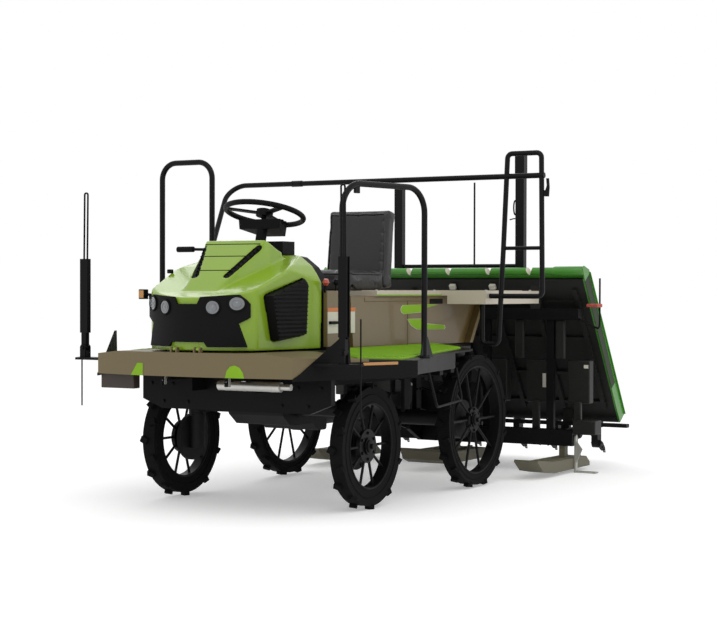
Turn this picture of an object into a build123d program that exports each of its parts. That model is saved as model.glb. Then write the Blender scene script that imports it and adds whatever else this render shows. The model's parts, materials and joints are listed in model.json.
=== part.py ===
"""Six-row riding rice transplanter: frame, four lugged wheels, bonnet, seat, rails and lifting planting unit.

Millimetres, +Z up, front toward -Y, the operator's left toward +X. The origin is on the ground, under the
middle of the whole machine.
"""

import os
from math import atan2, cos, degrees, hypot, radians, sin

from build123d import *

os.makedirs("parts", exist_ok=True)

# Running gear
wheelbase = 1185
front_track = 1200
rear_track = 1300
front_tyre_d = 670
rear_tyre_d = 800
tyre_width = 90
lug_height = 18
lug_thickness = 34
lug_root = 10
lug_slant = 24
rim_wall = 12
spoke_d = 15
boss_d = 90
hub_disc = 22
hub_length = 44
axle_d = 36
kingpin_x = 498
kingpin_d = 92
steer_pin_d = 40

# Fits
running_gap = 0.3

# Planting unit
rows = 6
row_pitch = 290
tray_top_back = 2172
tray_top_z = 1290
tray_foot_back = tray_top_back + 660
tray_foot_z = 300
planting_axis_back = tray_foot_back + 118
planting_axis_z = 192
tray_half_width = 950

# Platform and body
nose_reach = 820
platform_front_half = 605
platform_wide_half = 905
floor_edge_z = 797
floor_inner_z = 845
floor_inner_half = 450
floor_under_z = 722
floor_skin = 14
floor_flange = 18

# Where the front axle lies, so that the origin is midway between the nose and the planting claws
claw_rest_depth = 70
front_axle_y = (nose_reach - planting_axis_back - claw_rest_depth) / 2
rear_axle_y = front_axle_y + wheelbase
front_axle_z = front_tyre_d / 2
rear_axle_z = rear_tyre_d / 2

SIDES = (("left", 1), ("right", -1))


def behind(distance):
    """Station along the machine, a distance behind the front axle."""
    return front_axle_y + distance


def across(y, z):
    """Plane facing the operator's left, with its centre at the middle of the machine."""
    return Plane(origin=(0, y, z), x_dir=(0, 1, 0), z_dir=(1, 0, 0))


def bent_tube(corners, bend, diameter):
    """Round tube along straight runs joined by bends of one radius."""
    with BuildPart() as tube:
        with BuildLine() as route:
            FilletPolyline(*corners, radius=bend)
        with BuildSketch(Plane(origin=route.line @ 0, z_dir=route.line % 0)):
            Circle(diameter / 2)
        sweep()
    return tube.part


def straight_tube(start, end, diameter):
    """Round bar between two points."""
    with BuildPart() as bar:
        with BuildLine() as route:
            Line(start, end)
        with BuildSketch(Plane(origin=start, z_dir=route.line % 0)):
            Circle(diameter / 2)
        sweep()
    return bar.part


def keep(piece, name):
    """Label a finished piece and write it under its own name."""
    piece.part.label = name
    export_step(piece.part, f"parts/{name}.step")


# Main frame: two long rails on the middle, with tow eyes at their front ends
rail_x = 200
rail_width = 50
rail_bottom = 630
rail_top = floor_under_z
rail_front = behind(-700)
rail_step = behind(-500)
rail_nose_height = 25
rail_rear = behind(1560)
rail_inner = rail_x - rail_width / 2
link_pivot_y = behind(1330)
link_pivot_z = 420
top_pivot_z = 660
link_length = 675
link_drop = 12
link_pin_d = 24
link_bracket_width = 30
ram_pivot_y = behind(1150)
ram_pivot_z = 845
ear_thickness = 12
ear_gap = 33
ear_r = 22
tow_eye_d = 21
tow_plate = 12
tow_height = 50

# Cross members over the rails: station behind the front axle, half width
long_members = ((560, 762), (860, 680))
# Cross members between the rails: station, depth
short_members = ((behind(-60), 40), (ram_pivot_y, 60))
member_depth = 40
member_height = 30

# The deep front member's outline from the front, as half width and height
front_member_y = behind(-345)
front_member_side = ((600, rail_top), (600, 570), (470, 520), (-470, 520), (-600, 570), (-600, rail_top))

with BuildPart() as frame_crossings:
    with BuildSketch(Plane.XZ.offset(-front_member_y)):
        with BuildLine():
            Polyline(*front_member_side, close=True)
        make_face()
    extrude(amount=member_depth / 2, both=True)
    for back, half in long_members:
        with Locations((0, behind(back), rail_top - member_height / 2)):
            Box(2 * half, member_depth, member_height)
    for y, depth in short_members:
        with Locations((0, y, rail_top - member_height / 2)):
            Box(2 * rail_inner, depth, member_height)
    with Locations((0, link_pivot_y - 45, (rail_bottom + rail_top) / 2)):
        Box(2 * rail_inner, 30, rail_top - rail_bottom)
    with BuildSketch(across(link_pivot_y, link_pivot_z)) as bracket_side:
        with Locations((0, (rail_bottom - link_pivot_z) / 2)):
            Rectangle(60, rail_bottom - link_pivot_z)
        Circle(30)
        Circle(link_pin_d / 2 + running_gap, mode=Mode.SUBTRACT)
    for side in (-1, 1):
        extrude(bracket_side.sketch.moved(Location((side * rail_x, 0, 0))), link_bracket_width / 2, both=True)
    with BuildSketch(across(link_pivot_y, top_pivot_z)) as ear_side:
        with Locations((-15, 0)):
            Rectangle(30, 2 * ear_r)
        Circle(ear_r)
        Circle(link_pin_d / 2 + running_gap, mode=Mode.SUBTRACT)
    extrude(ear_side.sketch, ear_gap / 2 - 1, both=True)
    with BuildSketch(across(ram_pivot_y, ram_pivot_z)) as ram_ear:
        with Locations((0, (rail_top - ram_pivot_z) / 2)):
            Rectangle(2 * ear_r, ram_pivot_z - rail_top)
        Circle(ear_r)
        Circle(link_pin_d / 2 + running_gap, mode=Mode.SUBTRACT)
    for side in (-1, 1):
        ear_x = side * (ear_gap + ear_thickness) / 2
        extrude(ram_ear.sketch.moved(Location((ear_x, 0, 0))), ear_thickness / 2, both=True)
keep(frame_crossings, "frame_crossings")

with BuildPart() as main_frame:
    for side in (-1, 1):
        with Locations((side * rail_x, (rail_step + rail_rear) / 2, (rail_bottom + rail_top) / 2)):
            Box(rail_width, rail_rear - rail_step, rail_top - rail_bottom)
        with Locations((side * rail_x, (rail_front + rail_step) / 2, rail_top - rail_nose_height / 2)):
            Box(rail_width, rail_step - rail_front, rail_nose_height)
    with BuildSketch(across(rail_front, rail_top - tow_height / 2)) as tow_side:
        with Locations((-20, 0)):
            Rectangle(40, tow_height)
        with Locations((-30, 0)):
            Circle(tow_eye_d / 2, mode=Mode.SUBTRACT)
    for side in (-1, 1):
        extrude(tow_side.sketch.moved(Location((side * rail_x, 0, 0))), tow_plate / 2, both=True)
    add(frame_crossings.part, mode=Mode.SUBTRACT)
keep(main_frame, "main_frame")

# Engine: one block on the rails, under the bonnet
engine_half = 210
engine_front = behind(-470)
engine_rear = behind(-150)
engine_top = 1110
with BuildPart() as engine:
    with Locations((0, (engine_front + engine_rear) / 2, (rail_top + engine_top) / 2)):
        Box(2 * engine_half, engine_rear - engine_front, engine_top - rail_top)
keep(engine, "engine")

# Front axle with the gearbox between the rails and a kingpin housing at each end
gearbox_side = ((-160, 690), (-160, 490), (-80, 430), (150, 430), (210, 385), (300, 385), (300, 690))
front_tube_z = 525
front_tube_d = 84
kingpin_top = 605
kingpin_base = 470
with BuildPart() as front_axle:
    with BuildSketch(Plane.YZ.offset(-rail_inner)):
        with BuildLine():
            Polyline(*[(behind(back), z) for back, z in gearbox_side], close=True)
        make_face()
    extrude(amount=2 * rail_inner)
    fillet(front_axle.edges().filter_by(Axis.X), 20)
    with BuildSketch(Plane.YZ.offset(-kingpin_x)):
        with Locations((behind(0), front_tube_z)):
            Circle(front_tube_d / 2)
    extrude(amount=2 * kingpin_x)
    with BuildSketch(Plane.XY.offset(kingpin_base)):
        with Locations((-kingpin_x, behind(0)), (kingpin_x, behind(0))):
            Circle(kingpin_d / 2)
    extrude(amount=kingpin_top - kingpin_base)
    with BuildSketch(Plane.XY.offset(kingpin_base)):
        with Locations((-kingpin_x, behind(0)), (kingpin_x, behind(0))):
            Circle(steer_pin_d / 2 + running_gap)
    extrude(amount=100, mode=Mode.SUBTRACT)
keep(front_axle, "front_axle")

# Rear axle: torque tube, centre case, side tubes and a final case inside each wheel
rear_tube_d = 90
final_case_x = 545
final_case_width = 44
with BuildPart() as rear_axle:
    with BuildSketch(Plane.XZ.offset(-behind(300))):
        with Locations((0, 450)):
            Circle(60)
    extrude(amount=-(wheelbase - 400))
    with Locations((0, rear_axle_y, rear_axle_z + 20)):
        Box(230, 210, 230)
    with BuildSketch(Plane.YZ.offset(-final_case_x)):
        with Locations((rear_axle_y, rear_axle_z)):
            Circle(rear_tube_d / 2)
    extrude(amount=2 * final_case_x)
    for side in (-1, 1):
        with BuildSketch(Plane.YZ.offset(side * (final_case_x + final_case_width / 2))):
            with Locations((rear_axle_y, rear_axle_z)):
                Circle(115)
        extrude(amount=final_case_width / 2, both=True)
        with Locations((side * rail_x, rear_axle_y, (rear_axle_z + rail_bottom) / 2)):
            Box(24, 70, rail_bottom - rear_axle_z)
        with BuildSketch(Plane.YZ.offset(side * final_case_x)):
            with Locations((rear_axle_y, rear_axle_z)):
                Circle(axle_d / 2)
        extrude(amount=side * (rear_track / 2 + hub_length / 2 - final_case_x))
keep(rear_axle, "rear_axle")

# Steering knuckles: kingpin, final case inside the wheel and stub axle
knuckle_gap = 1
front_case_d = 260
front_case_x = 518
for side_name, side in SIDES:
    with BuildPart() as knuckle:
        with BuildSketch(Plane.XY.offset(front_axle_z - 60)):
            with Locations((side * kingpin_x, behind(0))):
                Circle(kingpin_d / 2)
        extrude(amount=kingpin_base - knuckle_gap - front_axle_z + 60)
        with BuildSketch(Plane.XY.offset(kingpin_base - knuckle_gap)):
            with Locations((side * kingpin_x, behind(0))):
                Circle(steer_pin_d / 2)
        extrude(amount=95)
        with BuildSketch(Plane.YZ.offset(side * front_case_x)):
            with Locations((behind(0), front_axle_z)):
                Circle(front_case_d / 2)
        extrude(amount=side * 26)
        with BuildSketch(Plane.YZ.offset(side * front_case_x)):
            with Locations((behind(0), front_axle_z)):
                Circle(axle_d / 2)
        extrude(amount=side * (front_track / 2 + hub_length / 2 - front_case_x))
    keep(knuckle, f"knuckle_{side_name}")

# Wheels: end of the machine, station, height, track, tyre diameter, tyre wall, hub, spokes, lugs a side
wheels = (
    ("front", front_axle_y, front_axle_z, front_track, front_tyre_d, 86, 180, 10, 10),
    ("rear", rear_axle_y, rear_axle_z, rear_track, rear_tyre_d, 62, 150, 10, 12),
)
for end_name, axle_y, axle_z, track, tyre_d, wall, hub_d, spokes, lugs in wheels:
    for side_name, side in SIDES:
        wheel_plane = Plane(origin=(side * track / 2, axle_y, axle_z), x_dir=(0, 1, 0), z_dir=(1, 0, 0))
        tread_r = tyre_d / 2 - lug_height
        bead_r = tread_r - wall
        with BuildPart(wheel_plane) as tyre:
            with BuildSketch(Plane(origin=wheel_plane.origin, x_dir=(1, 0, 0), z_dir=(0, -1, 0))):
                with BuildLine():
                    Polyline(
                        (-tyre_width * 0.32, bead_r),
                        (-tyre_width * 0.43, tread_r),
                        (tyre_width * 0.43, tread_r),
                        (tyre_width * 0.32, bead_r),
                        close=True,
                    )
                make_face()
            revolve(axis=Axis(wheel_plane.origin, (1, 0, 0)))
            for half, start in ((-1, 0), (1, 180 / lugs)):
                with PolarLocations(tread_r + (lug_height - lug_root) / 2, lugs, start_angle=start):
                    with Locations((0, 0, half * tyre_width * 0.235)):
                        Box(
                            lug_height + lug_root,
                            lug_thickness,
                            tyre_width * 0.46,
                            rotation=(half * lug_slant, 0, 0),
                        )
        keep(tyre, f"{end_name}_tyre_{side_name}")
        with BuildPart(wheel_plane) as wheel:
            Cylinder(bead_r - running_gap, tyre_width * 0.64)
            Cylinder(bead_r - rim_wall, tyre_width * 0.64, mode=Mode.SUBTRACT)
            with PolarLocations((bead_r + boss_d / 2) / 2 - 6, spokes):
                Cylinder(spoke_d / 2, bead_r - boss_d / 2 + 4, rotation=(0, 90, 0))
            Cylinder(hub_d / 2, hub_disc)
            Cylinder(boss_d / 2, hub_length)
            Cylinder(axle_d / 2 + running_gap, hub_length, mode=Mode.SUBTRACT)
        keep(wheel, f"{end_name}_wheel_{side_name}")

# Platform: a pressed floor with a turned-down edge, higher in the middle than at its sides
platform_rear_back = 1300
platform_corner_back = -750
platform_side = ((905, 0), (850, 240), (682, 1120), (580, 1120), (580, platform_rear_back))
# Wheel arch: cut up into the floor's outer part over each rear tyre
arch_inner = 583
arch_outer = 760
arch_front = 750
arch_top = 808
engine_room = 6
bonnet_hinge_y = behind(-800)
bonnet_hinge_z = 862
hinge_x = 72
hinge_lug = 24
hinge_ear = 8
hinge_r = 12
hinge_pin_d = 10


def platform_plan(level, inset):
    """Plan of the platform at one level, drawn in by an inset."""
    with BuildSketch(Plane.XY.offset(level)) as plan:
        with BuildLine():
            ThreePointArc(
                (-platform_front_half, behind(platform_corner_back)),
                (0, behind(-nose_reach)),
                (platform_front_half, behind(platform_corner_back)),
            )
            left = [(half, behind(back)) for half, back in platform_side]
            right = [(-half, y) for half, y in reversed(left)]
            Polyline(
                (platform_front_half, behind(platform_corner_back)),
                *left,
                *right,
                (-platform_front_half, behind(platform_corner_back)),
            )
        make_face()
        if inset:
            offset(amount=-inset, kind=Kind.INTERSECTION)
    return plan.sketch


def floor_section(drop):
    """Section across the floor, flat in the middle and falling to its edges, lowered by a drop."""
    low = floor_under_z - 40
    with BuildSketch(Plane.XZ.offset(-behind(-nose_reach - 20))) as section:
        with BuildLine():
            Polyline(
                (-platform_wide_half, low),
                (-platform_wide_half, floor_edge_z - drop),
                (-floor_inner_half, floor_inner_z - drop),
                (floor_inner_half, floor_inner_z - drop),
                (platform_wide_half, floor_edge_z - drop),
                (platform_wide_half, low),
                close=True,
            )
        make_face()
    return section.sketch


platform_length = nose_reach + platform_rear_back + 40
with BuildPart() as floor_hollow:
    extrude(platform_plan(floor_under_z - 20, floor_flange), amount=200)
    extrude(floor_section(floor_skin), amount=-platform_length, mode=Mode.INTERSECT)

with BuildPart() as platform:
    extrude(platform_plan(floor_under_z, 0), amount=200)
    extrude(floor_section(0), amount=-platform_length, mode=Mode.INTERSECT)
    add(floor_hollow.part, mode=Mode.SUBTRACT)
    with Locations((0, (engine_front + engine_rear) / 2, floor_inner_z)):
        Box(
            2 * (engine_half + engine_room),
            engine_rear - engine_front + 2 * engine_room,
            100,
            mode=Mode.SUBTRACT,
        )
    with Locations((0, behind(1300), floor_inner_z)):
        Box(300, 520, 400, mode=Mode.SUBTRACT)
    for side in (-1, 1):
        with Locations(
            (
                side * (arch_inner + arch_outer) / 2,
                behind((arch_front + platform_rear_back) / 2),
                arch_top - 100,
            )
        ):
            Box(arch_outer - arch_inner, platform_rear_back - arch_front, 200, mode=Mode.SUBTRACT)
    # Ears of the bonnet's front hinge
    with BuildSketch(across(bonnet_hinge_y, bonnet_hinge_z)) as hinge_side:
        with Locations((0, (floor_inner_z - bonnet_hinge_z) / 2)):
            Rectangle(2 * hinge_r, bonnet_hinge_z - floor_inner_z)
        Circle(hinge_r)
        Circle(hinge_pin_d / 2 + running_gap, mode=Mode.SUBTRACT)
    for side in (-1, 1):
        for ear_side in (-1, 1):
            ear_x = side * hinge_x + ear_side * (hinge_lug / 2 + 1 + hinge_ear / 2)
            extrude(hinge_side.sketch.moved(Location((ear_x, 0, 0))), hinge_ear / 2, both=True)
keep(platform, "platform")


def floor_z(half):
    """Height of the floor's top at a distance from the middle."""
    fall = (floor_inner_z - floor_edge_z) / (platform_wide_half - floor_inner_half)
    return floor_inner_z - max(0, half - floor_inner_half) * fall


# Skirts: black plates along the floor's slanting front sides, rising to a gusset at the boarding hoop
edge_run = hypot(platform_wide_half - platform_front_half, platform_corner_back)
edge_dir = ((platform_wide_half - platform_front_half) / edge_run, -platform_corner_back / edge_run)
skirt_thickness = 5
with BuildPart() as side_skirts:
    skirt_plane = Plane(
        origin=(platform_front_half, behind(platform_corner_back), 0),
        x_dir=(edge_dir[0], edge_dir[1], 0),
        z_dir=(edge_dir[1], -edge_dir[0], 0),
    )
    with BuildSketch(skirt_plane):
        with BuildLine():
            Polyline(
                (0, floor_under_z - 12),
                (0, floor_under_z),
                (45, floor_under_z + 24),
                (322, 940),
                (352, 940),
                (362, floor_edge_z),
                (edge_run, floor_edge_z),
                (edge_run, floor_under_z - 12),
                close=True,
            )
        make_face()
    extrude(amount=skirt_thickness)
    mirror(about=Plane.YZ)
keep(side_skirts, "side_skirts")

# Mats: ribbed green rubber on each side floor
mat_thickness = 8
mat_side = (
    (850, -70),
    (845, 10),
    (800, 240),
    (657, 1010),
    (630, 1050),
    (470, 1050),
    (470, 30),
    (640, -330),
    (735, -330),
)
with BuildPart() as floor_mats:
    with BuildSketch(Plane.XY.offset(floor_under_z)):
        with BuildLine():
            Polyline(*[(half, behind(back)) for half, back in mat_side], close=True)
        make_face()
    extrude(amount=200)
    mirror(about=Plane.YZ)
    extrude(floor_section(-mat_thickness), amount=-platform_length, mode=Mode.INTERSECT)
    extrude(floor_section(0), amount=-platform_length, mode=Mode.SUBTRACT)
keep(floor_mats, "floor_mats")

# Boarding hoops: one beside the left step, one across the right side floor
hoop_d = 32
left_hoop_feet = ((705, -435), (842, 199))
left_hoop_top = 1708
left_hoop_bend = 135
right_hoop_feet = ((-850, 150), (-500, 150))
right_hoop_top = 1895
right_hoop_bend = 95
foot_sink = 5


def hoop(feet, top, bend):
    """Upright hoop of tube between two feet that stand on the floor."""
    (x0, back0), (x1, back1) = feet
    corners = [
        (x0, behind(back0), floor_z(abs(x0)) - foot_sink),
        (x0, behind(back0), top),
        (x1, behind(back1), top),
        (x1, behind(back1), floor_z(abs(x1)) - foot_sink),
    ]
    return bent_tube(corners, bend, hoop_d)


with BuildPart() as boarding_hoops:
    add(hoop(left_hoop_feet, left_hoop_top, left_hoop_bend))
    add(hoop(right_hoop_feet, right_hoop_top, right_hoop_bend))
    add(platform.part, mode=Mode.SUBTRACT)
    add(floor_mats.part, mode=Mode.SUBTRACT)
keep(boarding_hoops, "boarding_hoops")

# Bonnet: the common part of its plan, its side view and its front view, hollow and open below
bonnet_base = 852
bonnet_front = behind(-785)
bonnet_rear = behind(-130)
bonnet_wall = 8
bonnet_nose_half = 330
bonnet_rear_half = 402
bonnet_cheek_back = -655
bonnet_round = 45


def bonnet_plan(growth, base):
    """Plan of the bonnet with a round nose, grown outwards, at its base level."""
    with BuildSketch(Plane.XY.offset(base)) as plan:
        with BuildLine():
            ThreePointArc(
                (-bonnet_nose_half, behind(bonnet_cheek_back)),
                (0, bonnet_front),
                (bonnet_nose_half, behind(bonnet_cheek_back)),
            )
            Polyline(
                (bonnet_nose_half, behind(bonnet_cheek_back)),
                (bonnet_rear_half, bonnet_rear),
                (-bonnet_rear_half, bonnet_rear),
                (-bonnet_nose_half, behind(bonnet_cheek_back)),
            )
        make_face()
        fillet(plan.vertices().group_by(Axis.Y)[0], 60)
        if growth:
            offset(amount=growth)
    return plan.sketch


def bonnet_block(side_points, front_points, base, growth):
    """Common part of the plan, a side view and a front view, from a base level up."""
    with BuildPart() as block:
        extrude(bonnet_plan(growth, base), amount=900)
        with BuildSketch(Plane.YZ.offset(-600)):
            with BuildLine():
                Polyline(*side_points, close=True)
            make_face()
            if growth:
                offset(amount=growth, kind=Kind.INTERSECTION)
        extrude(amount=1200, mode=Mode.INTERSECT)
        with BuildSketch(Plane.XZ.offset(-(bonnet_front - 100))) as front:
            with BuildLine():
                Polyline(*front_points, close=True)
            make_face()
            fillet(front.vertices(), bonnet_round)
            if growth:
                offset(amount=growth, kind=Kind.INTERSECTION)
        extrude(amount=-1000, mode=Mode.INTERSECT)
    return block.part


hinge_reach = 27
skirt_low = 600
far_ahead = behind(-900)
body_side = (
    (far_ahead, skirt_low),
    (far_ahead, 1085),
    (behind(-700), 1150),
    (behind(-350), 1290),
    (bonnet_rear, 1352),
    (bonnet_rear, skirt_low),
)
body_half = ((395, skirt_low), (405, 1200), (376, 1250), (346, 1292), (266, 1351), (190, 1364))
body_front = body_half + tuple((-half, z) for half, z in reversed(body_half))
ridge_side = (
    (far_ahead, skirt_low),
    (far_ahead, 1080),
    (behind(-690), 1150),
    (behind(-352), 1428),
    (behind(-235), 1370),
    (bonnet_rear, 1362),
    (bonnet_rear, skirt_low),
)
ridge_front = ((-330, skirt_low), (-195, 1438), (195, 1438), (330, skirt_low))

# The raised middle panel's plan at the bonnet's base, as half width and distance behind the front axle
ridge_plan = ((130, -900), (131, -760), (171, -640), (288, -352), (289, -130))
ridge_slope = 9.15

# Vent slots in the raised panel's sides, from the low front end to the high rear end on the left
vent_low = (100, -595, 1228)
vent_high = (187, -387, 1400)
vent_facing = (0.609, -0.537, 0.341)
vent_width = 25

# Side grille openings and the mask's outline on the nose
grille_side = ((-592, 1134), (-285, 1222), (-250, 1190), (-268, 933), (-535, 903))
mask_front = (
    (62, 1092),
    (80, 1128),
    (266, 1140),
    (345, 1066),
    (345, 1040),
    (262, 993),
    (298, 874),
    (118, 874),
    (100, 898),
)
mask_thickness = 14
grille_face_x = 392


def grille_block(growth, depth):
    """Block across the bonnet in the outline of its side grilles."""
    with BuildPart() as block:
        with BuildSketch(Plane.YZ.offset(-depth)):
            with BuildLine():
                Polyline(*[(behind(back), z) for back, z in grille_side], close=True)
            make_face()
            offset(amount=growth, kind=Kind.INTERSECTION)
        extrude(amount=2 * depth)
    return block.part


def ridge_block(base, growth):
    """Raised middle panel: the common part of its bonnet block and of its plan, which narrows upwards."""
    with BuildPart() as block:
        with BuildSketch(Plane.XY.offset(bonnet_base)):
            with BuildLine():
                left = [(half, behind(back)) for half, back in ridge_plan]
                right = [(-half, y) for half, y in reversed(left)]
                Polyline(*left, *right, close=True)
            make_face()
            if growth:
                offset(amount=growth, kind=Kind.INTERSECTION)
        extrude(amount=700, taper=ridge_slope)
        add(bonnet_block(ridge_side, ridge_front, base, growth), mode=Mode.INTERSECT)
    return block.part


def vent_block(margin, depth):
    """Bars through both vent slots, wider than them by a margin."""
    with BuildPart() as bars:
        middle = [(a + b) / 2 for a, b in zip(vent_low, vent_high)]
        along = [b - a for a, b in zip(vent_low, vent_high)]
        length = hypot(*along)
        vent_plane = Plane(origin=(middle[0], behind(middle[1]), middle[2]), x_dir=along, z_dir=vent_facing)
        with BuildSketch(vent_plane):
            SlotCenterToCenter(length - vent_width, vent_width + 2 * margin)
        extrude(amount=depth, both=True)
        mirror(about=Plane.YZ)
    return bars.part


with BuildPart() as bonnet_core:
    add(bonnet_block(body_side, body_front, bonnet_base - 50, -bonnet_wall))
    add(ridge_block(bonnet_base - 50, -bonnet_wall))

with BuildPart() as bonnet:
    add(bonnet_block(body_side, body_front, bonnet_base, 0))
    add(ridge_block(bonnet_base, 0))
    add(bonnet_core.part, mode=Mode.SUBTRACT)
    add(grille_block(0, 600), mode=Mode.SUBTRACT)
    add(vent_block(0, 30), mode=Mode.SUBTRACT)
    with Locations((0, bonnet_rear, 1000)):
        Box(640, 60, 600, mode=Mode.SUBTRACT)
    with BuildSketch(across(bonnet_hinge_y, bonnet_hinge_z)) as lug_side:
        Circle(hinge_r - 2)
        with Locations((hinge_reach / 2, 0)):
            Rectangle(hinge_reach, 2 * hinge_r - 4)
    with BuildSketch(across(bonnet_hinge_y, bonnet_hinge_z)) as hinge_pin:
        Circle(hinge_pin_d / 2)
    for side in (-1, 1):
        extrude(lug_side.sketch.moved(Location((side * hinge_x, 0, 0))), hinge_lug / 2, both=True)
        extrude(
            hinge_pin.sketch.moved(Location((side * hinge_x, 0, 0))), hinge_lug / 2 + 1 + hinge_ear, both=True
        )
keep(bonnet, "bonnet")

mask_corners = mask_front + tuple((-x, z) for x, z in reversed(mask_front) if x)
with BuildPart() as mask:
    extrude(bonnet_plan(mask_thickness, bonnet_base), amount=400)
    extrude(bonnet_plan(running_gap, bonnet_base), amount=400, mode=Mode.SUBTRACT)
    with BuildSketch(Plane.XZ.offset(-(bonnet_front - 100))):
        with BuildLine():
            Polyline(*mask_corners, close=True)
        make_face()
    extrude(amount=-200, mode=Mode.INTERSECT)

with BuildPart() as grille_core:
    add(bonnet_block(body_side, body_front, bonnet_base, -2 * bonnet_wall))

# Plates behind the vent slots, just inside the bonnet's wall
vent_plate = 4
vent_margin = 8
with BuildPart() as vent_inner:
    add(ridge_block(bonnet_base, -bonnet_wall - vent_plate))
    add(bonnet_block(body_side, body_front, bonnet_base, -bonnet_wall - vent_plate))
with BuildPart() as vent_plates:
    add(ridge_block(bonnet_base, -bonnet_wall - running_gap))
    add(bonnet_block(body_side, body_front, bonnet_base, -bonnet_wall - running_gap))
    add(vent_inner.part, mode=Mode.SUBTRACT)
    add(vent_block(vent_margin, 40), mode=Mode.INTERSECT)

with BuildPart() as bonnet_inserts:
    add(grille_block(-0.5, 600))
    add(grille_core.part, mode=Mode.SUBTRACT)
    with Locations((500, behind(-420), 1060), (-500, behind(-420), 1060)):
        Box(2 * (500 - grille_face_x), 800, 700, mode=Mode.SUBTRACT)
    add(mask.part)
    add(vent_plates.part)
keep(bonnet_inserts, "bonnet_inserts")

# Headlamps: two lenses on each side of the mask, half across and height
lamp_r = 33
lamp_places = ((148, 1075), (262, 1094))
with BuildPart() as headlamps:
    with BuildSketch(Plane.XZ.offset(-(bonnet_front - 60))):
        with Locations(*[(side * x, z) for x, z in lamp_places for side in (-1, 1)]):
            Circle(lamp_r)
    extrude(amount=-160)
    extrude(bonnet_plan(mask_thickness + 5, bonnet_base), amount=400, mode=Mode.INTERSECT)
    extrude(bonnet_plan(mask_thickness, bonnet_base), amount=400, mode=Mode.SUBTRACT)
keep(headlamps, "headlamps")

# Dash: bulkhead behind the bonnet, column pod, instrument plate and the lever box on the left
dash_gap = 8
dash_depth = 70
wheel_tilt = 15
steer_centre = (0, behind(-70), 1580)
column_d = 58
pod_top = 1426
steer_normal = (0, sin(radians(wheel_tilt)), cos(radians(wheel_tilt)))
steer_plane = Plane(origin=steer_centre, x_dir=(1, 0, 0), z_dir=steer_normal)
with BuildPart() as dash_console:
    with BuildSketch(Plane.XZ.offset(-(bonnet_rear + dash_gap))) as bulkhead:
        with BuildLine():
            Polyline(*body_front, close=True)
        make_face()
        fillet(bulkhead.vertices(), bonnet_round)
        offset(amount=-12, kind=Kind.INTERSECTION)
        with Locations((0, floor_inner_z - 200)):
            Rectangle(1000, 400, mode=Mode.SUBTRACT)
    extrude(amount=-dash_depth)
    with Locations((0, bonnet_rear + dash_gap + 60, (floor_inner_z + pod_top) / 2)):
        Box(300, 120, pod_top - floor_inner_z)
    with Locations((385, bonnet_rear + dash_gap + 100, (floor_inner_z + 1120) / 2)):
        Box(80, 200, 1120 - floor_inner_z)
    with BuildSketch(steer_plane.offset(-180)):
        Circle(column_d / 2)
    extrude(amount=140)
    with BuildSketch(steer_plane.offset(-95)):
        with Locations((0, 25)):
            Trapezoid(290, 190, 70)
    extrude(amount=50)
    with Locations((0, bonnet_rear + dash_gap - 100, 1200)):
        Box(1000, 200, 900, mode=Mode.SUBTRACT)
keep(dash_console, "dash_console")

# Steering wheel on its tilted column
steer_rim_d = 425
steer_grip_d = 30
with BuildPart(steer_plane) as steering_wheel:
    Torus(steer_rim_d / 2, steer_grip_d / 2)
    with PolarLocations(steer_rim_d / 4, 3, start_angle=90):
        Box(steer_rim_d / 2, 34, 10)
    Cylinder(46, 36)
    with Locations((0, 0, -27)):
        Cylinder(14, 20)
    with Locations((0, 0, -27)):
        Cylinder(10, 24)
keep(steering_wheel, "steering_wheel")

# Fairing: the seat's pedestal between two side panels, with the operator's footwell in front
fairing_half = 450
fairing_top = 1132
fairing_wall = 12
fairing_front = 120
fairing_foot = 1510
fairing_crown = 1700
footwell_rear = 430
flange_out = 42
with BuildPart() as seat_fairing:
    with BuildSketch(Plane.YZ.offset(-fairing_half)):
        with BuildLine():
            Polyline(
                (behind(fairing_front), floor_inner_z),
                (behind(fairing_foot), floor_inner_z),
                (behind(fairing_crown), fairing_top),
                (behind(fairing_front - 30), fairing_top),
                close=True,
            )
        make_face()
    extrude(amount=2 * fairing_half)
    with BuildSketch(Plane.YZ.offset(-fairing_half + fairing_wall)):
        with BuildLine():
            Polyline(
                (behind(footwell_rear + fairing_wall), floor_inner_z),
                (behind(fairing_foot), floor_inner_z),
                (behind(fairing_crown - fairing_wall), fairing_top - fairing_wall),
                (behind(footwell_rear + fairing_wall), fairing_top - fairing_wall),
                close=True,
            )
        make_face()
    extrude(amount=2 * (fairing_half - fairing_wall), mode=Mode.SUBTRACT)
    with Locations((0, behind(footwell_rear / 2), (floor_inner_z + fairing_top) / 2)):
        well_width = 2 * (fairing_half - 4 * fairing_wall)
        Box(well_width, footwell_rear, fairing_top - floor_inner_z, mode=Mode.SUBTRACT)
    for side in (-1, 1):
        with BuildSketch(Plane.YZ.offset(side * fairing_half)):
            with BuildLine():
                Polyline(
                    (behind(fairing_foot - 40), floor_inner_z),
                    (behind(fairing_foot), floor_inner_z),
                    (behind(fairing_crown), fairing_top),
                    (behind(fairing_crown - 75), fairing_top),
                    (behind(fairing_crown - 60), fairing_top - 35),
                    close=True,
                )
            make_face()
        extrude(amount=side * flange_out)
keep(seat_fairing, "seat_fairing")

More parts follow.
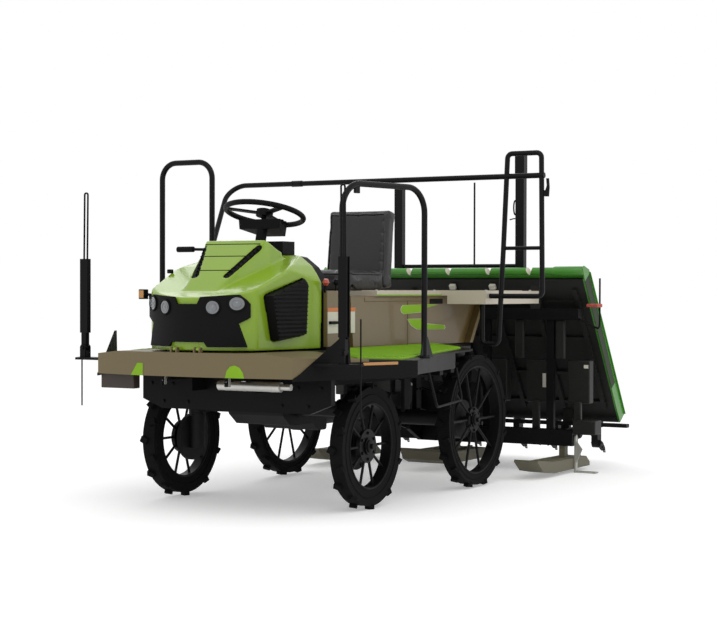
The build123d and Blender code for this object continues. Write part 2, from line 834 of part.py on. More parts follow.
# Deck: the pale top, narrow beside the seat and wide behind it, with a turned-down edge
deck_top = 1160
deck_narrow_half = 462
deck_wide_half = 750
deck_front = 360
deck_widens = 1150
deck_rear = 1920
deck_skirt = 78
with BuildPart() as rear_deck:
    with Locations((0, behind((deck_front + deck_widens) / 2), (fairing_top + deck_top) / 2)):
        Box(2 * deck_narrow_half, deck_widens - deck_front, deck_top - fairing_top)
    with Locations((0, behind((deck_widens + deck_rear) / 2), deck_top - deck_skirt / 2)):
        Box(2 * deck_wide_half, deck_rear - deck_widens, deck_skirt)
    with Locations((0, behind((deck_widens + deck_rear) / 2), fairing_top - 50)):
        Box(2 * (deck_wide_half - 10), deck_rear - deck_widens - 20, 100, mode=Mode.SUBTRACT)
    with Locations((0, behind(deck_widens), fairing_top - 50)):
        Box(2 * (fairing_half + flange_out + 6), 60, 100, mode=Mode.SUBTRACT)
keep(rear_deck, "rear_deck")

# Seat: cushion and back, both closed and soft
seat_width = 455
seat_gap = 0.3
with BuildPart() as seat_cushion:
    with Locations((0, behind(690), deck_top + seat_gap + 55)):
        Box(seat_width, 430, 110)
    fillet(seat_cushion.edges(), 25)
keep(seat_cushion, "seat_cushion")

with BuildPart() as seat_back:
    with BuildSketch(Plane.YZ.offset(-seat_width / 2 + 5)):
        with BuildLine():
            Polyline(
                (behind(912), deck_top + seat_gap),
                (behind(1005), deck_top + seat_gap),
                (behind(1050), 1640),
                (behind(965), 1660),
                close=True,
            )
        make_face()
    extrude(amount=seat_width - 10)
    fillet(seat_back.edges(), 22)
keep(seat_back, "seat_back")

# Guard rail: one long tube behind the seat, bent down to the right side floor, and the left ladder
rail_back = 1210
rail_z = 1830
rail_reach = 1106
rail_bend = 110
rail_tube_d = 32
rail_foot = (-826, 330)
ladder_rung_z = 1410
ladder_z = 1962
ladder_foot_z = 850
ladder_d = 30
ladder_bend = 30
rung_d = 22
ladder_reach = 1084

# The ladder's inner leg leans outwards in the room between the deck's edge and the outer leg
ladder_room = ladder_reach - deck_wide_half
ladder_foot_x, ladder_rung_x, ladder_top_x = (
    deck_wide_half + ladder_room * share / 334 for share in (56, 86, 112)
)
with BuildPart() as guard_rail:
    add(
        bent_tube(
            [
                (ladder_reach + 12, behind(rail_back), rail_z),
                (-rail_reach, behind(rail_back), rail_z),
                (rail_foot[0], behind(rail_foot[1]), floor_z(-rail_foot[0]) - foot_sink),
            ],
            rail_bend,
            rail_tube_d,
        )
    )
    loop_foot = [
        (deck_wide_half - 50, behind(rail_back), deck_top - deck_skirt + 4),
        (deck_wide_half - 50, behind(rail_back), ladder_foot_z),
        (ladder_foot_x, behind(rail_back), ladder_foot_z),
        (ladder_rung_x, behind(rail_back), ladder_rung_z),
    ]
    ladder_top = [
        (ladder_rung_x, behind(rail_back), ladder_rung_z),
        (ladder_top_x, behind(rail_back), ladder_z),
        (ladder_reach - 8, behind(rail_back), ladder_z),
        (ladder_reach, behind(rail_back), 1130),
        (deck_wide_half - 8, behind(rail_back), 1130),
    ]
    add(bent_tube(loop_foot, ladder_bend, ladder_d))
    add(bent_tube(ladder_top, ladder_bend, ladder_d))
    rung_ends = (ladder_rung_x + 4, ladder_reach + 8)
    add(straight_tube(*[(x, behind(rail_back), ladder_rung_z) for x in rung_ends], rung_d))
    add(platform.part, mode=Mode.SUBTRACT)
    add(floor_mats.part, mode=Mode.SUBTRACT)
    add(rear_deck.part, mode=Mode.SUBTRACT)
keep(guard_rail, "guard_rail")

# Wire steps hung from the floor's edge on both sides
step_bend = 30
step_wire = 14
with BuildPart() as boarding_steps:
    add(
        bent_tube(
            [
                (836, behind(262), floor_under_z),
                (848, behind(340), 530),
                (790, behind(758), 544),
                (738, behind(790), floor_under_z),
            ],
            step_bend,
            step_wire,
        )
    )
    mirror(about=Plane.YZ)
    add(platform.part, mode=Mode.SUBTRACT)
keep(boarding_steps, "boarding_steps")

# Muffler: a tube across the front, hung from the left rail's nose
muffler_d = 52
muffler_y = behind(-560)
muffler_z = 669
muffler_inner = 40
muffler_outer = 420
tail_pipe_d = 32
tail_pipe = 60
with BuildPart() as muffler:
    with BuildSketch(Plane.YZ.offset(muffler_inner)):
        with Locations((muffler_y, muffler_z)):
            Circle(muffler_d / 2)
    extrude(amount=muffler_outer - muffler_inner)
    with BuildSketch(Plane.YZ.offset(muffler_outer)):
        with Locations((muffler_y, muffler_z)):
            Circle(tail_pipe_d / 2)
    extrude(amount=tail_pipe)
    with Locations((rail_x, muffler_y, (muffler_z + rail_top - rail_nose_height) / 2)):
        Box(24, 30, rail_top - rail_nose_height - muffler_z)
keep(muffler, "muffler")

# Line markers: brackets with the thin corner rods, and an arm that folds out on each side
marker_x = 812
marker_back = -600
marker_pivot_z = 850
marker_top = 1690
marker_plate_z = 797
marker_pin_d = 12
marker_ear = 8
marker_lug = 30
skirt_step = skirt_thickness / edge_dir[1]


def edge_x(back):
    """Outer face of the skirt at a distance behind the front axle."""
    slope = (platform_wide_half - platform_front_half) / -platform_corner_back
    return platform_front_half + (back - platform_corner_back) * slope + skirt_step


with BuildPart() as marker_brackets:
    with BuildSketch(Plane.XY.offset(marker_plate_z - 12)):
        with BuildLine():
            Polyline(
                (edge_x(-640), behind(-640)),
                (edge_x(-535), behind(-535)),
                (890, behind(-535)),
                (890, behind(-560)),
                (850, behind(-640)),
                close=True,
            )
        make_face()
    extrude(amount=12)
    for ear_side in (-1, 1):
        ear_y = behind(marker_back) + ear_side * (marker_lug / 2 + 1 + marker_ear / 2)
        with BuildSketch(Plane.XZ.offset(-ear_y)):
            with Locations((marker_x, (marker_plate_z + marker_pivot_z) / 2)):
                Rectangle(36, marker_pivot_z - marker_plate_z)
            with Locations((marker_x, marker_pivot_z)):
                Circle(18)
                Circle(marker_pin_d / 2 + running_gap, mode=Mode.SUBTRACT)
        extrude(amount=marker_ear / 2, both=True)
    add(straight_tube((878, behind(-547), 530), (878, behind(-547), 1020), 8))
    mirror(about=Plane.YZ)
keep(marker_brackets, "marker_brackets")

for side_name, side in SIDES:
    with BuildPart() as marker:
        with BuildSketch(Plane.XZ.offset(-behind(marker_back))):
            with Locations((side * marker_x, marker_pivot_z)):
                Circle(marker_pin_d / 2)
        extrude(amount=marker_lug / 2 + marker_ear, both=True)
        with BuildSketch(Plane.XZ.offset(-behind(marker_back))):
            with Locations((side * marker_x, marker_pivot_z)):
                Circle(16)
            with Locations((side * marker_x, marker_pivot_z + 50)):
                Rectangle(30, 100)
        extrude(amount=marker_lug / 2, both=True)
        with Locations((side * marker_x, behind(marker_back), 1130)):
            Box(50, 30, 400)
        with Locations((side * (marker_x + 19), behind(marker_back), 1130)):
            Box(24, 22, 420, mode=Mode.SUBTRACT)
        loop = [
            (side * (marker_x - 14), behind(marker_back), 1315),
            (side * (marker_x - 18), behind(marker_back), marker_top - 5),
            (side * (marker_x + 4), behind(marker_back), marker_top - 5),
            (side * (marker_x + 8), behind(marker_back), 1315),
        ]
        add(bent_tube(loop, 9, 10))
    keep(marker, f"marker_{side_name}")

# Lift: lower links, upper link and the ram between the frame and the upper link
link_run = link_length * cos(radians(link_drop))
link_fall = link_length * sin(radians(link_drop))
hitch_y = link_pivot_y + link_run
hitch_z = link_pivot_z - link_fall
hitch_top_z = top_pivot_z - link_fall
link_plate = 16
link_width = 46
link_bar_reach = 70
link_bar_d = 36


def link_bar(start_y, start_z, end_y, end_z, width, x, thickness):
    """Flat bar with round ends between two pins, centred on one station across."""
    length = hypot(end_y - start_y, end_z - start_z)
    angle = degrees(atan2(end_z - start_z, end_y - start_y))
    with BuildPart() as bar:
        with BuildSketch(across((start_y + end_y) / 2, (start_z + end_z) / 2)):
            SlotCenterToCenter(length, width, rotation=angle)
        extrude(amount=thickness / 2, both=True)
    return bar.part.moved(Location((x, 0, 0)))


def cross_pin(y, z, diameter, half):
    """Round pin across the machine, centred on its middle."""
    with BuildPart() as pin:
        with BuildSketch(across(y, z)):
            Circle(diameter / 2)
        extrude(amount=half, both=True)
    return pin.part


link_x = rail_x + link_bracket_width / 2 + 1 + link_plate / 2
with BuildPart() as lower_links:
    for side in (-1, 1):
        add(link_bar(link_pivot_y, link_pivot_z, hitch_y, hitch_z, link_width, side * link_x, link_plate))
        for pin_y, pin_z in ((link_pivot_y, link_pivot_z), (hitch_y, hitch_z)):
            stud = cross_pin(pin_y, pin_z, link_pin_d, link_bracket_width / 2 + 2)
            add(stud.moved(Location((side * (rail_x + 2), 0, 0))))
    bar_y = link_pivot_y + link_bar_reach * cos(radians(link_drop))
    bar_z = link_pivot_z - link_bar_reach * sin(radians(link_drop))
    add(cross_pin(bar_y, bar_z, link_bar_d, link_x))
keep(lower_links, "lower_links")

ram_lug = 360
ram_lug_y = link_pivot_y + ram_lug * cos(radians(link_drop))
ram_lug_z = top_pivot_z - ram_lug * sin(radians(link_drop))
ram_pin_d = 20
upper_plate = 12
upper_x = ear_gap / 2 + upper_plate / 2
with BuildPart() as upper_link:
    for side in (-1, 1):
        top_ends = (link_pivot_y, top_pivot_z, hitch_y, hitch_top_z)
        add(link_bar(*top_ends, link_width, side * upper_x, upper_plate))
    for pin_y, pin_z, pin_d in (
        (link_pivot_y, top_pivot_z, link_pin_d),
        (ram_lug_y, ram_lug_z, ram_pin_d),
        (hitch_y, hitch_top_z, link_pin_d),
    ):
        add(cross_pin(pin_y, pin_z, pin_d, ear_gap / 2 + upper_plate))
keep(upper_link, "upper_link")

# Ram: barrel hung in the frame's ears, rod with an open eye round the upper link's pin
ram_run = ram_lug_y - ram_pivot_y
ram_fall = ram_lug_z - ram_pivot_z
ram_length = hypot(ram_run, ram_fall)
ram_angle = degrees(atan2(ram_fall, ram_run))
ram_dir = (0, ram_run / ram_length, ram_fall / ram_length)
ram_plane = Plane(origin=(0, ram_pivot_y, ram_pivot_z), x_dir=(1, 0, 0), z_dir=ram_dir)
barrel_d = 60
barrel_length = 330
barrel_neck = 46
rod_d = 28
eye_room = 9
eye_width = 26
with BuildPart() as ram_barrel:
    add(cross_pin(ram_pivot_y, ram_pivot_z, link_pin_d, ear_gap / 2 + ear_thickness))
    with BuildSketch(across(ram_pivot_y, ram_pivot_z)):
        Circle(21)
    extrude(amount=ear_gap / 2 - 2, both=True)
    with BuildSketch(ram_plane.offset(barrel_neck)):
        Circle(barrel_d / 2)
    extrude(amount=barrel_length - barrel_neck)
    with BuildSketch(ram_plane):
        Rectangle(ear_gap - 6, 36)
    extrude(amount=barrel_neck)
    with BuildSketch(ram_plane.offset(60)):
        Circle(rod_d / 2 + running_gap)
    extrude(amount=barrel_length, mode=Mode.SUBTRACT)
keep(ram_barrel, "ram_barrel")

with BuildPart() as ram_rod:
    with BuildSketch(ram_plane.offset(180)):
        Circle(rod_d / 2)
    extrude(amount=ram_length - 180)
    with BuildSketch(across(ram_lug_y, ram_lug_z)):
        Circle(ram_pin_d / 2 + eye_room + 12)
    extrude(amount=eye_width / 2, both=True)
    with BuildSketch(across(ram_lug_y, ram_lug_z)):
        Circle(ram_pin_d / 2 + eye_room)
    extrude(amount=eye_width, both=True, mode=Mode.SUBTRACT)
keep(ram_rod, "ram_rod")

# Planting frame: cross beam, hitch tower, uprights and the two beams that the tray slides on
beam_half = 860
beam_front = tray_top_back + 28
beam_rear = beam_front + 100
beam_bottom = 170
beam_top = 270
tower_front = beam_front - 70
upright_x = (250, 700)
upright_back = beam_front + 30
upper_beam_half = 900
upper_beam_bottom = 975
upper_beam_top = 1045
upper_beam_depth = 60
guide_front = tray_foot_back - 90
guide_rear = tray_foot_back - 38
guide_bottom = 256
guide_top = 280
guide_half = 1020
case_xs = (-2 * row_pitch, 0, 2 * row_pitch)
case_half = 28
case_r = 40
stand_pin_d = 16
stand_pin_z = 222
with BuildPart() as planting_frame:
    with Locations((0, behind((beam_front + beam_rear) / 2), (beam_bottom + beam_top) / 2)):
        Box(2 * beam_half, beam_rear - beam_front, beam_top - beam_bottom)
    with Locations((0, behind((tower_front + beam_front) / 2), (beam_bottom + 560) / 2)):
        Box(2 * (rail_x + link_bracket_width / 2), beam_front - tower_front, 560 - beam_bottom)
    with BuildSketch(across(hitch_y, hitch_z)) as hitch_side:
        with BuildLine():
            Polyline(
                (-26, -26),
                (-26, 26),
                (behind(tower_front) - hitch_y, 560 - hitch_z),
                (behind(tower_front) - hitch_y, beam_bottom - hitch_z),
                close=True,
            )
        make_face()
        Circle(30)
        Circle(link_pin_d / 2 + running_gap, mode=Mode.SUBTRACT)
    for side in (-1, 1):
        extrude(hitch_side.sketch.moved(Location((side * rail_x, 0, 0))), link_bracket_width / 2, both=True)
    with BuildSketch(across(hitch_y, hitch_top_z)) as hitch_ear:
        with BuildLine():
            Polyline(
                (0, -22),
                (0, 22),
                (behind(tower_front) - hitch_y, 36),
                (behind(tower_front) - hitch_y, -60),
                close=True,
            )
        make_face()
        Circle(22)
        Circle(link_pin_d / 2 + running_gap, mode=Mode.SUBTRACT)
    extrude(hitch_ear.sketch, ear_gap / 2 - 1, both=True)
    for x in upright_x:
        for side in (-1, 1):
            with Locations((side * x, behind(upright_back), (beam_top + upper_beam_bottom) / 2)):
                Box(50, 30, upper_beam_bottom - beam_top)
    with Locations((0, behind(upright_back), (upper_beam_bottom + upper_beam_top) / 2)):
        Box(2 * upper_beam_half, upper_beam_depth, upper_beam_top - upper_beam_bottom)
    for side in (-1, 1):
        with BuildSketch(Plane.YZ.offset(side * beam_half)):
            with Locations((behind((beam_front + beam_rear) / 2), stand_pin_z)):
                Circle(stand_pin_d / 2 + running_gap)
        extrude(amount=-side * 40, mode=Mode.SUBTRACT)
keep(planting_frame, "planting_frame")

# Planting cases: one behind the beam for each pair of rows, carrying the rotor's shaft and the guide rail
shaft_d = 30
with BuildPart() as planting_cases:
    with BuildSketch(across(behind(0), 0)) as case_side:
        with BuildLine():
            Polyline(
                (beam_rear, beam_bottom + 4),
                (beam_rear, beam_top - 4),
                (beam_rear + 90, planting_axis_z + 48),
                (planting_axis_back, planting_axis_z + case_r),
                (planting_axis_back, planting_axis_z - case_r),
                (beam_rear + 90, planting_axis_z - 40),
                close=True,
            )
        make_face()
        with Locations((planting_axis_back, planting_axis_z)):
            Circle(case_r)
            Circle(shaft_d / 2 + running_gap, mode=Mode.SUBTRACT)
    for x in case_xs:
        extrude(case_side.sketch.moved(Location((x, 0, 0))), case_half, both=True)
        with Locations((x, behind((guide_front + guide_rear) / 2), (planting_axis_z + guide_bottom) / 2)):
            Box(2 * case_half, 40, guide_bottom - planting_axis_z)
    with Locations((0, behind((guide_front + guide_rear) / 2), (guide_bottom + guide_top) / 2)):
        Box(2 * guide_half, guide_rear - guide_front, guide_top - guide_bottom)
keep(planting_cases, "planting_cases")

# Planting rotors: a shaft through each case, with a rotary case and two claw arms at both ends
rotor_half = 62
rotor_end_r = 34
rotor_width = 46
arm_x = 34
arm_width = 18
claw_tip = (-70, 134)
claw_side = ((18, 42), (26, 84), (-30, 118), (-58, 116), claw_tip, (-60, 98), (-22, 60))
for index, x in enumerate(case_xs, start=1):
    with BuildPart() as rotor:
        add(
            cross_pin(behind(planting_axis_back), planting_axis_z, shaft_d, row_pitch / 2 + 20).moved(
                Location((x, 0, 0))
            )
        )
        with BuildSketch(across(behind(planting_axis_back), planting_axis_z)) as rotary_case:
            SlotCenterToCenter(2 * rotor_half, 2 * rotor_end_r, rotation=90)
        with BuildSketch(across(behind(planting_axis_back), planting_axis_z)) as claw_arms:
            for turn in (0, 180):
                with BuildLine():
                    Polyline(
                        *[
                            (y * cos(radians(turn)), z * cos(radians(turn)))
                            for y, z in claw_side
                        ],
                        close=True,
                    )
                make_face()
        for row_side in (-1, 1):
            row_x = x + row_side * row_pitch / 2
            extrude(rotary_case.sketch.moved(Location((row_x, 0, 0))), rotor_width / 2, both=True)
            extrude(
                claw_arms.sketch.moved(Location((row_x + row_side * (rotor_width + arm_width) / 2, 0, 0))),
                arm_width / 2,
                both=True,
            )
    keep(rotor, f"planting_rotor_{index}")

# Floats: middle, half width, nose, tail, keel height, depth and the length of the turned-up nose
floats = (
    (780, 80, beam_front - 540, beam_front + 300, 24, 66, 260),
    (0, 150, beam_front - 435, beam_front + 280, 48, 66, 110),
)
with BuildPart() as float_set:
    for float_x, half, nose_back, tail_back, keel_z, depth, nose_run in floats:
        with BuildSketch(Plane.YZ.offset(float_x - half)):
            with BuildLine():
                Polyline(
                    (behind(tail_back), keel_z),
                    (behind(nose_back + nose_run), keel_z),
                    (behind(nose_back + nose_run / 3), keel_z + 26),
                    (behind(nose_back), keel_z + 88),
                    (behind(nose_back + 10), keel_z + 100),
                    (behind(nose_back + nose_run - 20), keel_z + depth + 8),
                    (behind(tail_back - 60), keel_z + depth),
                    (behind(tail_back), keel_z + 24),
                    close=True,
                )
            make_face()
        extrude(amount=2 * half)
        with Locations((float_x, behind(beam_front + 50), (keel_z + depth - 6 + beam_bottom) / 2)):
            Box(40, 50, beam_bottom - keel_z - depth + 6)
    mirror(about=Plane.YZ)
keep(float_set, "floats")

# Parking stands: a leg on each end of the beam, folding back and up
stand_y = behind((beam_front + beam_rear) / 2)
stand_gap = 1
stand_plate = 10
for side_name, side in SIDES:
    with BuildPart() as stand:
        stand_in = beam_half + stand_gap
        with BuildSketch(Plane.YZ.offset(side * stand_in)):
            with Locations((stand_y, stand_pin_z / 2)):
                Rectangle(34, stand_pin_z)
            with Locations((stand_y, stand_pin_z)):
                Circle(17)
        extrude(amount=side * stand_plate)
        with BuildSketch(Plane.YZ.offset(side * stand_in)):
            with Locations((stand_y, stand_pin_z)):
                Circle(stand_pin_d / 2)
        extrude(amount=-side * 36)
        with BuildSketch(Plane.XZ.offset(-stand_y)):
            with BuildLine():
                x0 = side * (stand_in + stand_plate)
                Polyline((x0, 200), (x0 + side * 40, 150), (x0, 60), close=True)
            make_face()
        extrude(amount=4, both=True)
        with Locations((side * (stand_in + 75), stand_y, 5)):
            Box(150, 50, 10)
    keep(stand, f"parking_stand_{side_name}")

# Seedling tray: the skin with its side walls, row ribs and rolled top, lying on a black frame
tray_length = hypot(tray_foot_back - tray_top_back, tray_top_z - tray_foot_z)
tray_down = ((tray_foot_back - tray_top_back) / tray_length, (tray_foot_z - tray_top_z) / tray_length)
tray_plane = Plane(
    origin=(0, behind(tray_top_back), tray_top_z),
    x_dir=(1, 0, 0),
    z_dir=(0, -tray_down[1], tray_down[0]),
)
skin = 6
tray_wall = 12
wall_rise = 66
wall_drop = 26
rib_rise = 34
rib_width = 26
roll_d = 48
notch_half = 22
section_lines = [(i - rows / 2) * row_pitch for i in range(rows + 1)]
with BuildPart(tray_plane) as seedling_tray:
    with Locations((0, tray_length / 2, -skin / 2)):
        Box(2 * tray_half_width, tray_length, skin)
    for side in (-1, 1):
        wall_x = side * (tray_half_width - tray_wall / 2)
        with Locations((wall_x, (tray_length + roll_d) / 2, (wall_rise - wall_drop) / 2)):
            Box(tray_wall, tray_length - roll_d, wall_rise + wall_drop)
    with Locations(*[(x, tray_length / 2 + 10, rib_rise / 2 - 1) for x in section_lines]):
        Box(rib_width, tray_length - 100, rib_rise + 2)
    with Locations((0, 0, -skin)):
        Cylinder(roll_d / 2, 2 * tray_half_width, rotation=(0, 90, 0))
    with BuildSketch(tray_plane.offset(-60)):
        with Locations(*[(x, -roll_d / 2) for x in section_lines[1:-1]]):
            Polygon((-notch_half, 0), (notch_half, 0), (0, roll_d), align=None)
    extrude(amount=120, mode=Mode.SUBTRACT)
keep(seedling_tray, "seedling_tray")

frame_depth = 20
shoe_width = 70
upper_shoe_top = tray_top_z - 80
lower_shoe_top = 372
with BuildPart(tray_plane) as tray_frame:
    with Locations((0, tray_length / 2 + 25, -skin - frame_depth / 2)):
        Box(2 * (tray_half_width - tray_wall), tray_length - 50, frame_depth)
    for x in section_lines:
        with Locations((x, tray_length / 2, -skin - frame_depth - 10)):
            Box(30, tray_length - 240, 20)
with BuildPart() as shoe_blocks:
    for x in (-600, 0, 600):
        for back, low, high, depth in (
            (upright_back - 8, upper_beam_top + running_gap, upper_shoe_top, 36),
            ((guide_front + guide_rear) / 2, guide_top + running_gap, lower_shoe_top, 40),
        ):
            with Locations((x, behind(back), (low + high) / 2)):
                Box(shoe_width, depth, high - low)
with BuildPart(tray_plane) as above_frame:
    with Locations((0, tray_length / 2, 200 - skin - frame_depth / 2)):
        Box(3000, 3000, 400)
with BuildPart() as tray_carrier:
    add(shoe_blocks.part)
    add(above_frame.part, mode=Mode.SUBTRACT)
    add(tray_frame.part)
keep(tray_carrier, "tray_frame")

# Posts that stand on the tray, the left one taller, with a bar between them and a thin rod on the bar
post_x = 450
post_back = tray_top_back + 138
post_low = 900
post_width = 60
post_depth = 46
post_tops = ((-1, 1885), (1, 2043))
post_bar_z = 1324
post_bar_d = 26
post_rod_x = 113
post_rod_top = 1878
post_rod_d = 12
with BuildPart(tray_plane) as below_skin:
    with Locations((0, tray_length / 2, -200)):
        Box(3000, 3000, 400)
with BuildPart() as tray_posts:
    for side, post_top in post_tops:
        with Locations((side * post_x, behind(post_back), (post_low + post_top) / 2)):
            Box(post_width, post_depth, post_top - post_low)
    bar_ends = [(side * post_x, behind(post_back), post_bar_z) for side in (-1, 1)]
    add(straight_tube(*bar_ends, post_bar_d))
    add(
        straight_tube(
            (post_rod_x, behind(post_back), post_bar_z),
            (post_rod_x, behind(post_back), post_rod_top),
            post_rod_d,
        )
    )
    add(below_skin.part, mode=Mode.SUBTRACT)
    add(seedling_tray.part, mode=Mode.SUBTRACT)
keep(tray_posts, "tray_posts")
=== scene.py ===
"""Riding rice transplanter: finishes, fine pieces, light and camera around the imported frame."""

import json
import logging
import math
from dataclasses import dataclass, field
from enum import Enum
from typing import Sequence

import bmesh
import bpy
from mathutils import Matrix, Vector


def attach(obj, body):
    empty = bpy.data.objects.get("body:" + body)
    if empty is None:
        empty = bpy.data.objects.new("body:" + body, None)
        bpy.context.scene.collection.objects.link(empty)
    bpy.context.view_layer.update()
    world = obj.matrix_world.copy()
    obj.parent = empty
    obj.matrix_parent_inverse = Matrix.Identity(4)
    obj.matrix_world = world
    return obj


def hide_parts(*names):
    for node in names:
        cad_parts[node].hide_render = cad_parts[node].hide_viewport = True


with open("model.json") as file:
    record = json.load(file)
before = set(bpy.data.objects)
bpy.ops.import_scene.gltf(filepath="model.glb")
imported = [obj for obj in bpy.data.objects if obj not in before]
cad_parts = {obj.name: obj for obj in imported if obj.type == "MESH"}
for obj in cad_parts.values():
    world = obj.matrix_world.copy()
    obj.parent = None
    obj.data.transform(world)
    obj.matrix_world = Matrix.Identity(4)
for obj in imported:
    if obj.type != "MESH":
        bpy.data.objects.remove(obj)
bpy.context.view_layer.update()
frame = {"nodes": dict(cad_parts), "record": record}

logging.basicConfig(level=logging.INFO, format="%(message)s")
log = logging.getLogger("scene")

# Fine pieces are placed from the ground under the front axle, which lies here in the frame.
FRONT_AXLE_Y = -1.100
# The floor's top is level as far as FLOOR_LEVEL_HALF on both sides and falls evenly beyond.
FLOOR_TOP = 0.845
FLOOR_LEVEL_HALF = 0.45
FLOOR_FALL = 0.1055
# Edges sharper than this many degrees get a bevel.
BEVEL_ANGLE = 40
# Soft changes of tone and roughness, and fine relief, that all finishes share.
MOTTLE_SCALE = 7.0
MOTTLE_DETAIL = 4.0
MOTTLE_RANGE = (0.3, 0.7)
ROUGHNESS_SPREAD = 0.06
COAT_ROUGHNESS = 0.06
RELIEF_DETAIL = 2.0
RELIEF_GAIN = 4
RELIEF_DEPTH = 0.0006
LEAST_ROUGHNESS = 0.02
# Limits that keep turned and swept bodies sound.
LEAST_RADIUS = 1e-5
NEARLY_UPRIGHT = 0.9
# Faces round bolts, wires, rods, small and large turned bodies, and rims.
HEXAGON = 6
WIRE_SIDES = 8
ROD_SIDES = 10
WASHER_ROUND = 16
SMALL_ROUND = 20
MIDDLE_ROUND = 28
LARGE_ROUND = 32
RIM_ROUND = 72
# Steps in a quarter turn, and the distance between points on a straight side.
ARC_STEPS = 6
ROUNDED_STEP = 0.015
# Proportions of a bolt head and its washer.
WASHER_SHARE = 1.35
WASHER_SINK = 0.001
WASHER_RISE = 0.0015
BOLT_TOP_SHARE = 0.8
BOLT_CHAMFER = 0.001

Point = tuple[float, float, float]
Flat = tuple[float, float]


class Side(Enum):
    """The operator's two sides, as a sign along X."""

    LEFT = 1
    RIGHT = -1


class Texture(Enum):
    """Kinds of fine surface relief, each with the scale of its noise."""

    NONE = 0.0
    GRAIN = 900.0
    CAST = 260.0
    BRUSHED = 500.0


@dataclass(frozen=True)
class Finish:
    """Look of one material slot, made with procedural nodes only."""

    slot: str
    colour: Point
    roughness: float
    metallic: float = 0.0
    coat: float = 0.0
    texture: Texture = Texture.NONE
    relief: float = 0.05
    mottle: float = 0.06
    alpha: float = 1.0
    specular: float = 0.5
    front_colour: Point | None = None
    front_limit: float = 0.0
    record_slot: str = ""

    def material(self) -> bpy.types.Material:
        """Make the material, or find it if it was made before.

        Returns:
            The material with this finish's name.
        """
        found = bpy.data.materials.get(f"finish_{self.slot}")
        if found:
            return found
        material = bpy.data.materials.new(f"finish_{self.slot}")
        material.use_nodes = True
        tree = material.node_tree
        shader = tree.nodes["Principled BSDF"]
        shader.inputs["Metallic"].default_value = self.metallic
        shader.inputs["Coat Weight"].default_value = self.coat
        shader.inputs["Coat Roughness"].default_value = COAT_ROUGHNESS
        shader.inputs["Alpha"].default_value = self.alpha
        shader.inputs["Specular IOR Level"].default_value = self.specular
        place = tree.nodes.new("ShaderNodeTexCoord")
        self._tint(tree, shader, place)
        if self.texture is not Texture.NONE:
            self._bump(tree, shader, place)
        return material

    def _tint(
        self, tree: bpy.types.NodeTree, shader: bpy.types.Node, place: bpy.types.Node
    ) -> None:
        """Vary colour and roughness softly over the surface.

        Args:
            tree: The material's node tree.
            shader: Its Principled BSDF node.
            place: Its texture coordinate node.
        """
        noise = tree.nodes.new("ShaderNodeTexNoise")
        noise.inputs["Scale"].default_value = MOTTLE_SCALE
        noise.inputs["Detail"].default_value = MOTTLE_DETAIL
        tree.links.new(place.outputs["Object"], noise.inputs["Vector"])
        ramp = tree.nodes.new("ShaderNodeValToRGB")
        low = [c * (1 - self.mottle) for c in self.colour]
        high = [min(1.0, c * (1 + self.mottle)) for c in self.colour]
        for stop, position, tone in zip(ramp.color_ramp.elements, MOTTLE_RANGE, (low, high)):
            stop.position = position
            stop.color = (*tone, 1)
        tree.links.new(noise.outputs["Fac"], ramp.inputs["Fac"])
        tree.links.new(self._band(tree, ramp.outputs["Color"]), shader.inputs["Base Color"])
        rough = tree.nodes.new("ShaderNodeMapRange")
        rough.inputs["To Min"].default_value = max(LEAST_ROUGHNESS, self.roughness - ROUGHNESS_SPREAD)
        rough.inputs["To Max"].default_value = min(1.0, self.roughness + ROUGHNESS_SPREAD)
        tree.links.new(noise.outputs["Fac"], rough.inputs["Value"])
        tree.links.new(rough.outputs["Result"], shader.inputs["Roughness"])

    def _band(
        self, tree: bpy.types.NodeTree, colour: bpy.types.NodeSocket
    ) -> bpy.types.NodeSocket:
        """Put the front colour on whatever lies ahead of the front limit.

        Args:
            tree: The material's node tree.
            colour: The socket with the main colour.

        Returns:
            The socket with the colour to use.
        """
        if self.front_colour is None:
            return colour
        place = tree.nodes.new("ShaderNodeNewGeometry")
        parts = tree.nodes.new("ShaderNodeSeparateXYZ")
        ahead = tree.nodes.new("ShaderNodeMath")
        ahead.operation = "LESS_THAN"
        ahead.inputs[1].default_value = FRONT_AXLE_Y + self.front_limit
        mix = tree.nodes.new("ShaderNodeMix")
        mix.data_type = "RGBA"
        mix.inputs["B"].default_value = (*self.front_colour, 1)
        tree.links.new(place.outputs["Position"], parts.inputs["Vector"])
        tree.links.new(parts.outputs["Y"], ahead.inputs[0])
        tree.links.new(ahead.outputs["Value"], mix.inputs["Factor"])
        tree.links.new(colour, mix.inputs["A"])
        return mix.outputs["Result"]

    def _bump(
        self, tree: bpy.types.NodeTree, shader: bpy.types.Node, place: bpy.types.Node
    ) -> None:
        """Add fine relief of this finish's texture.

        Args:
            tree: The material's node tree.
            shader: Its Principled BSDF node.
            place: Its texture coordinate node.
        """
        relief = tree.nodes.new("ShaderNodeTexNoise")
        relief.inputs["Scale"].default_value = self.texture.value
        relief.inputs["Detail"].default_value = RELIEF_DETAIL
        tree.links.new(place.outputs["Object"], relief.inputs["Vector"])
        bump = tree.nodes.new("ShaderNodeBump")
        bump.inputs["Strength"].default_value = self.relief * RELIEF_GAIN
        bump.inputs["Distance"].default_value = RELIEF_DEPTH
        tree.links.new(relief.outputs["Fac"], bump.inputs["Height"])
        tree.links.new(bump.outputs["Normal"], shader.inputs["Normal"])


CHAMPAGNE = (0.170, 0.134, 0.072)

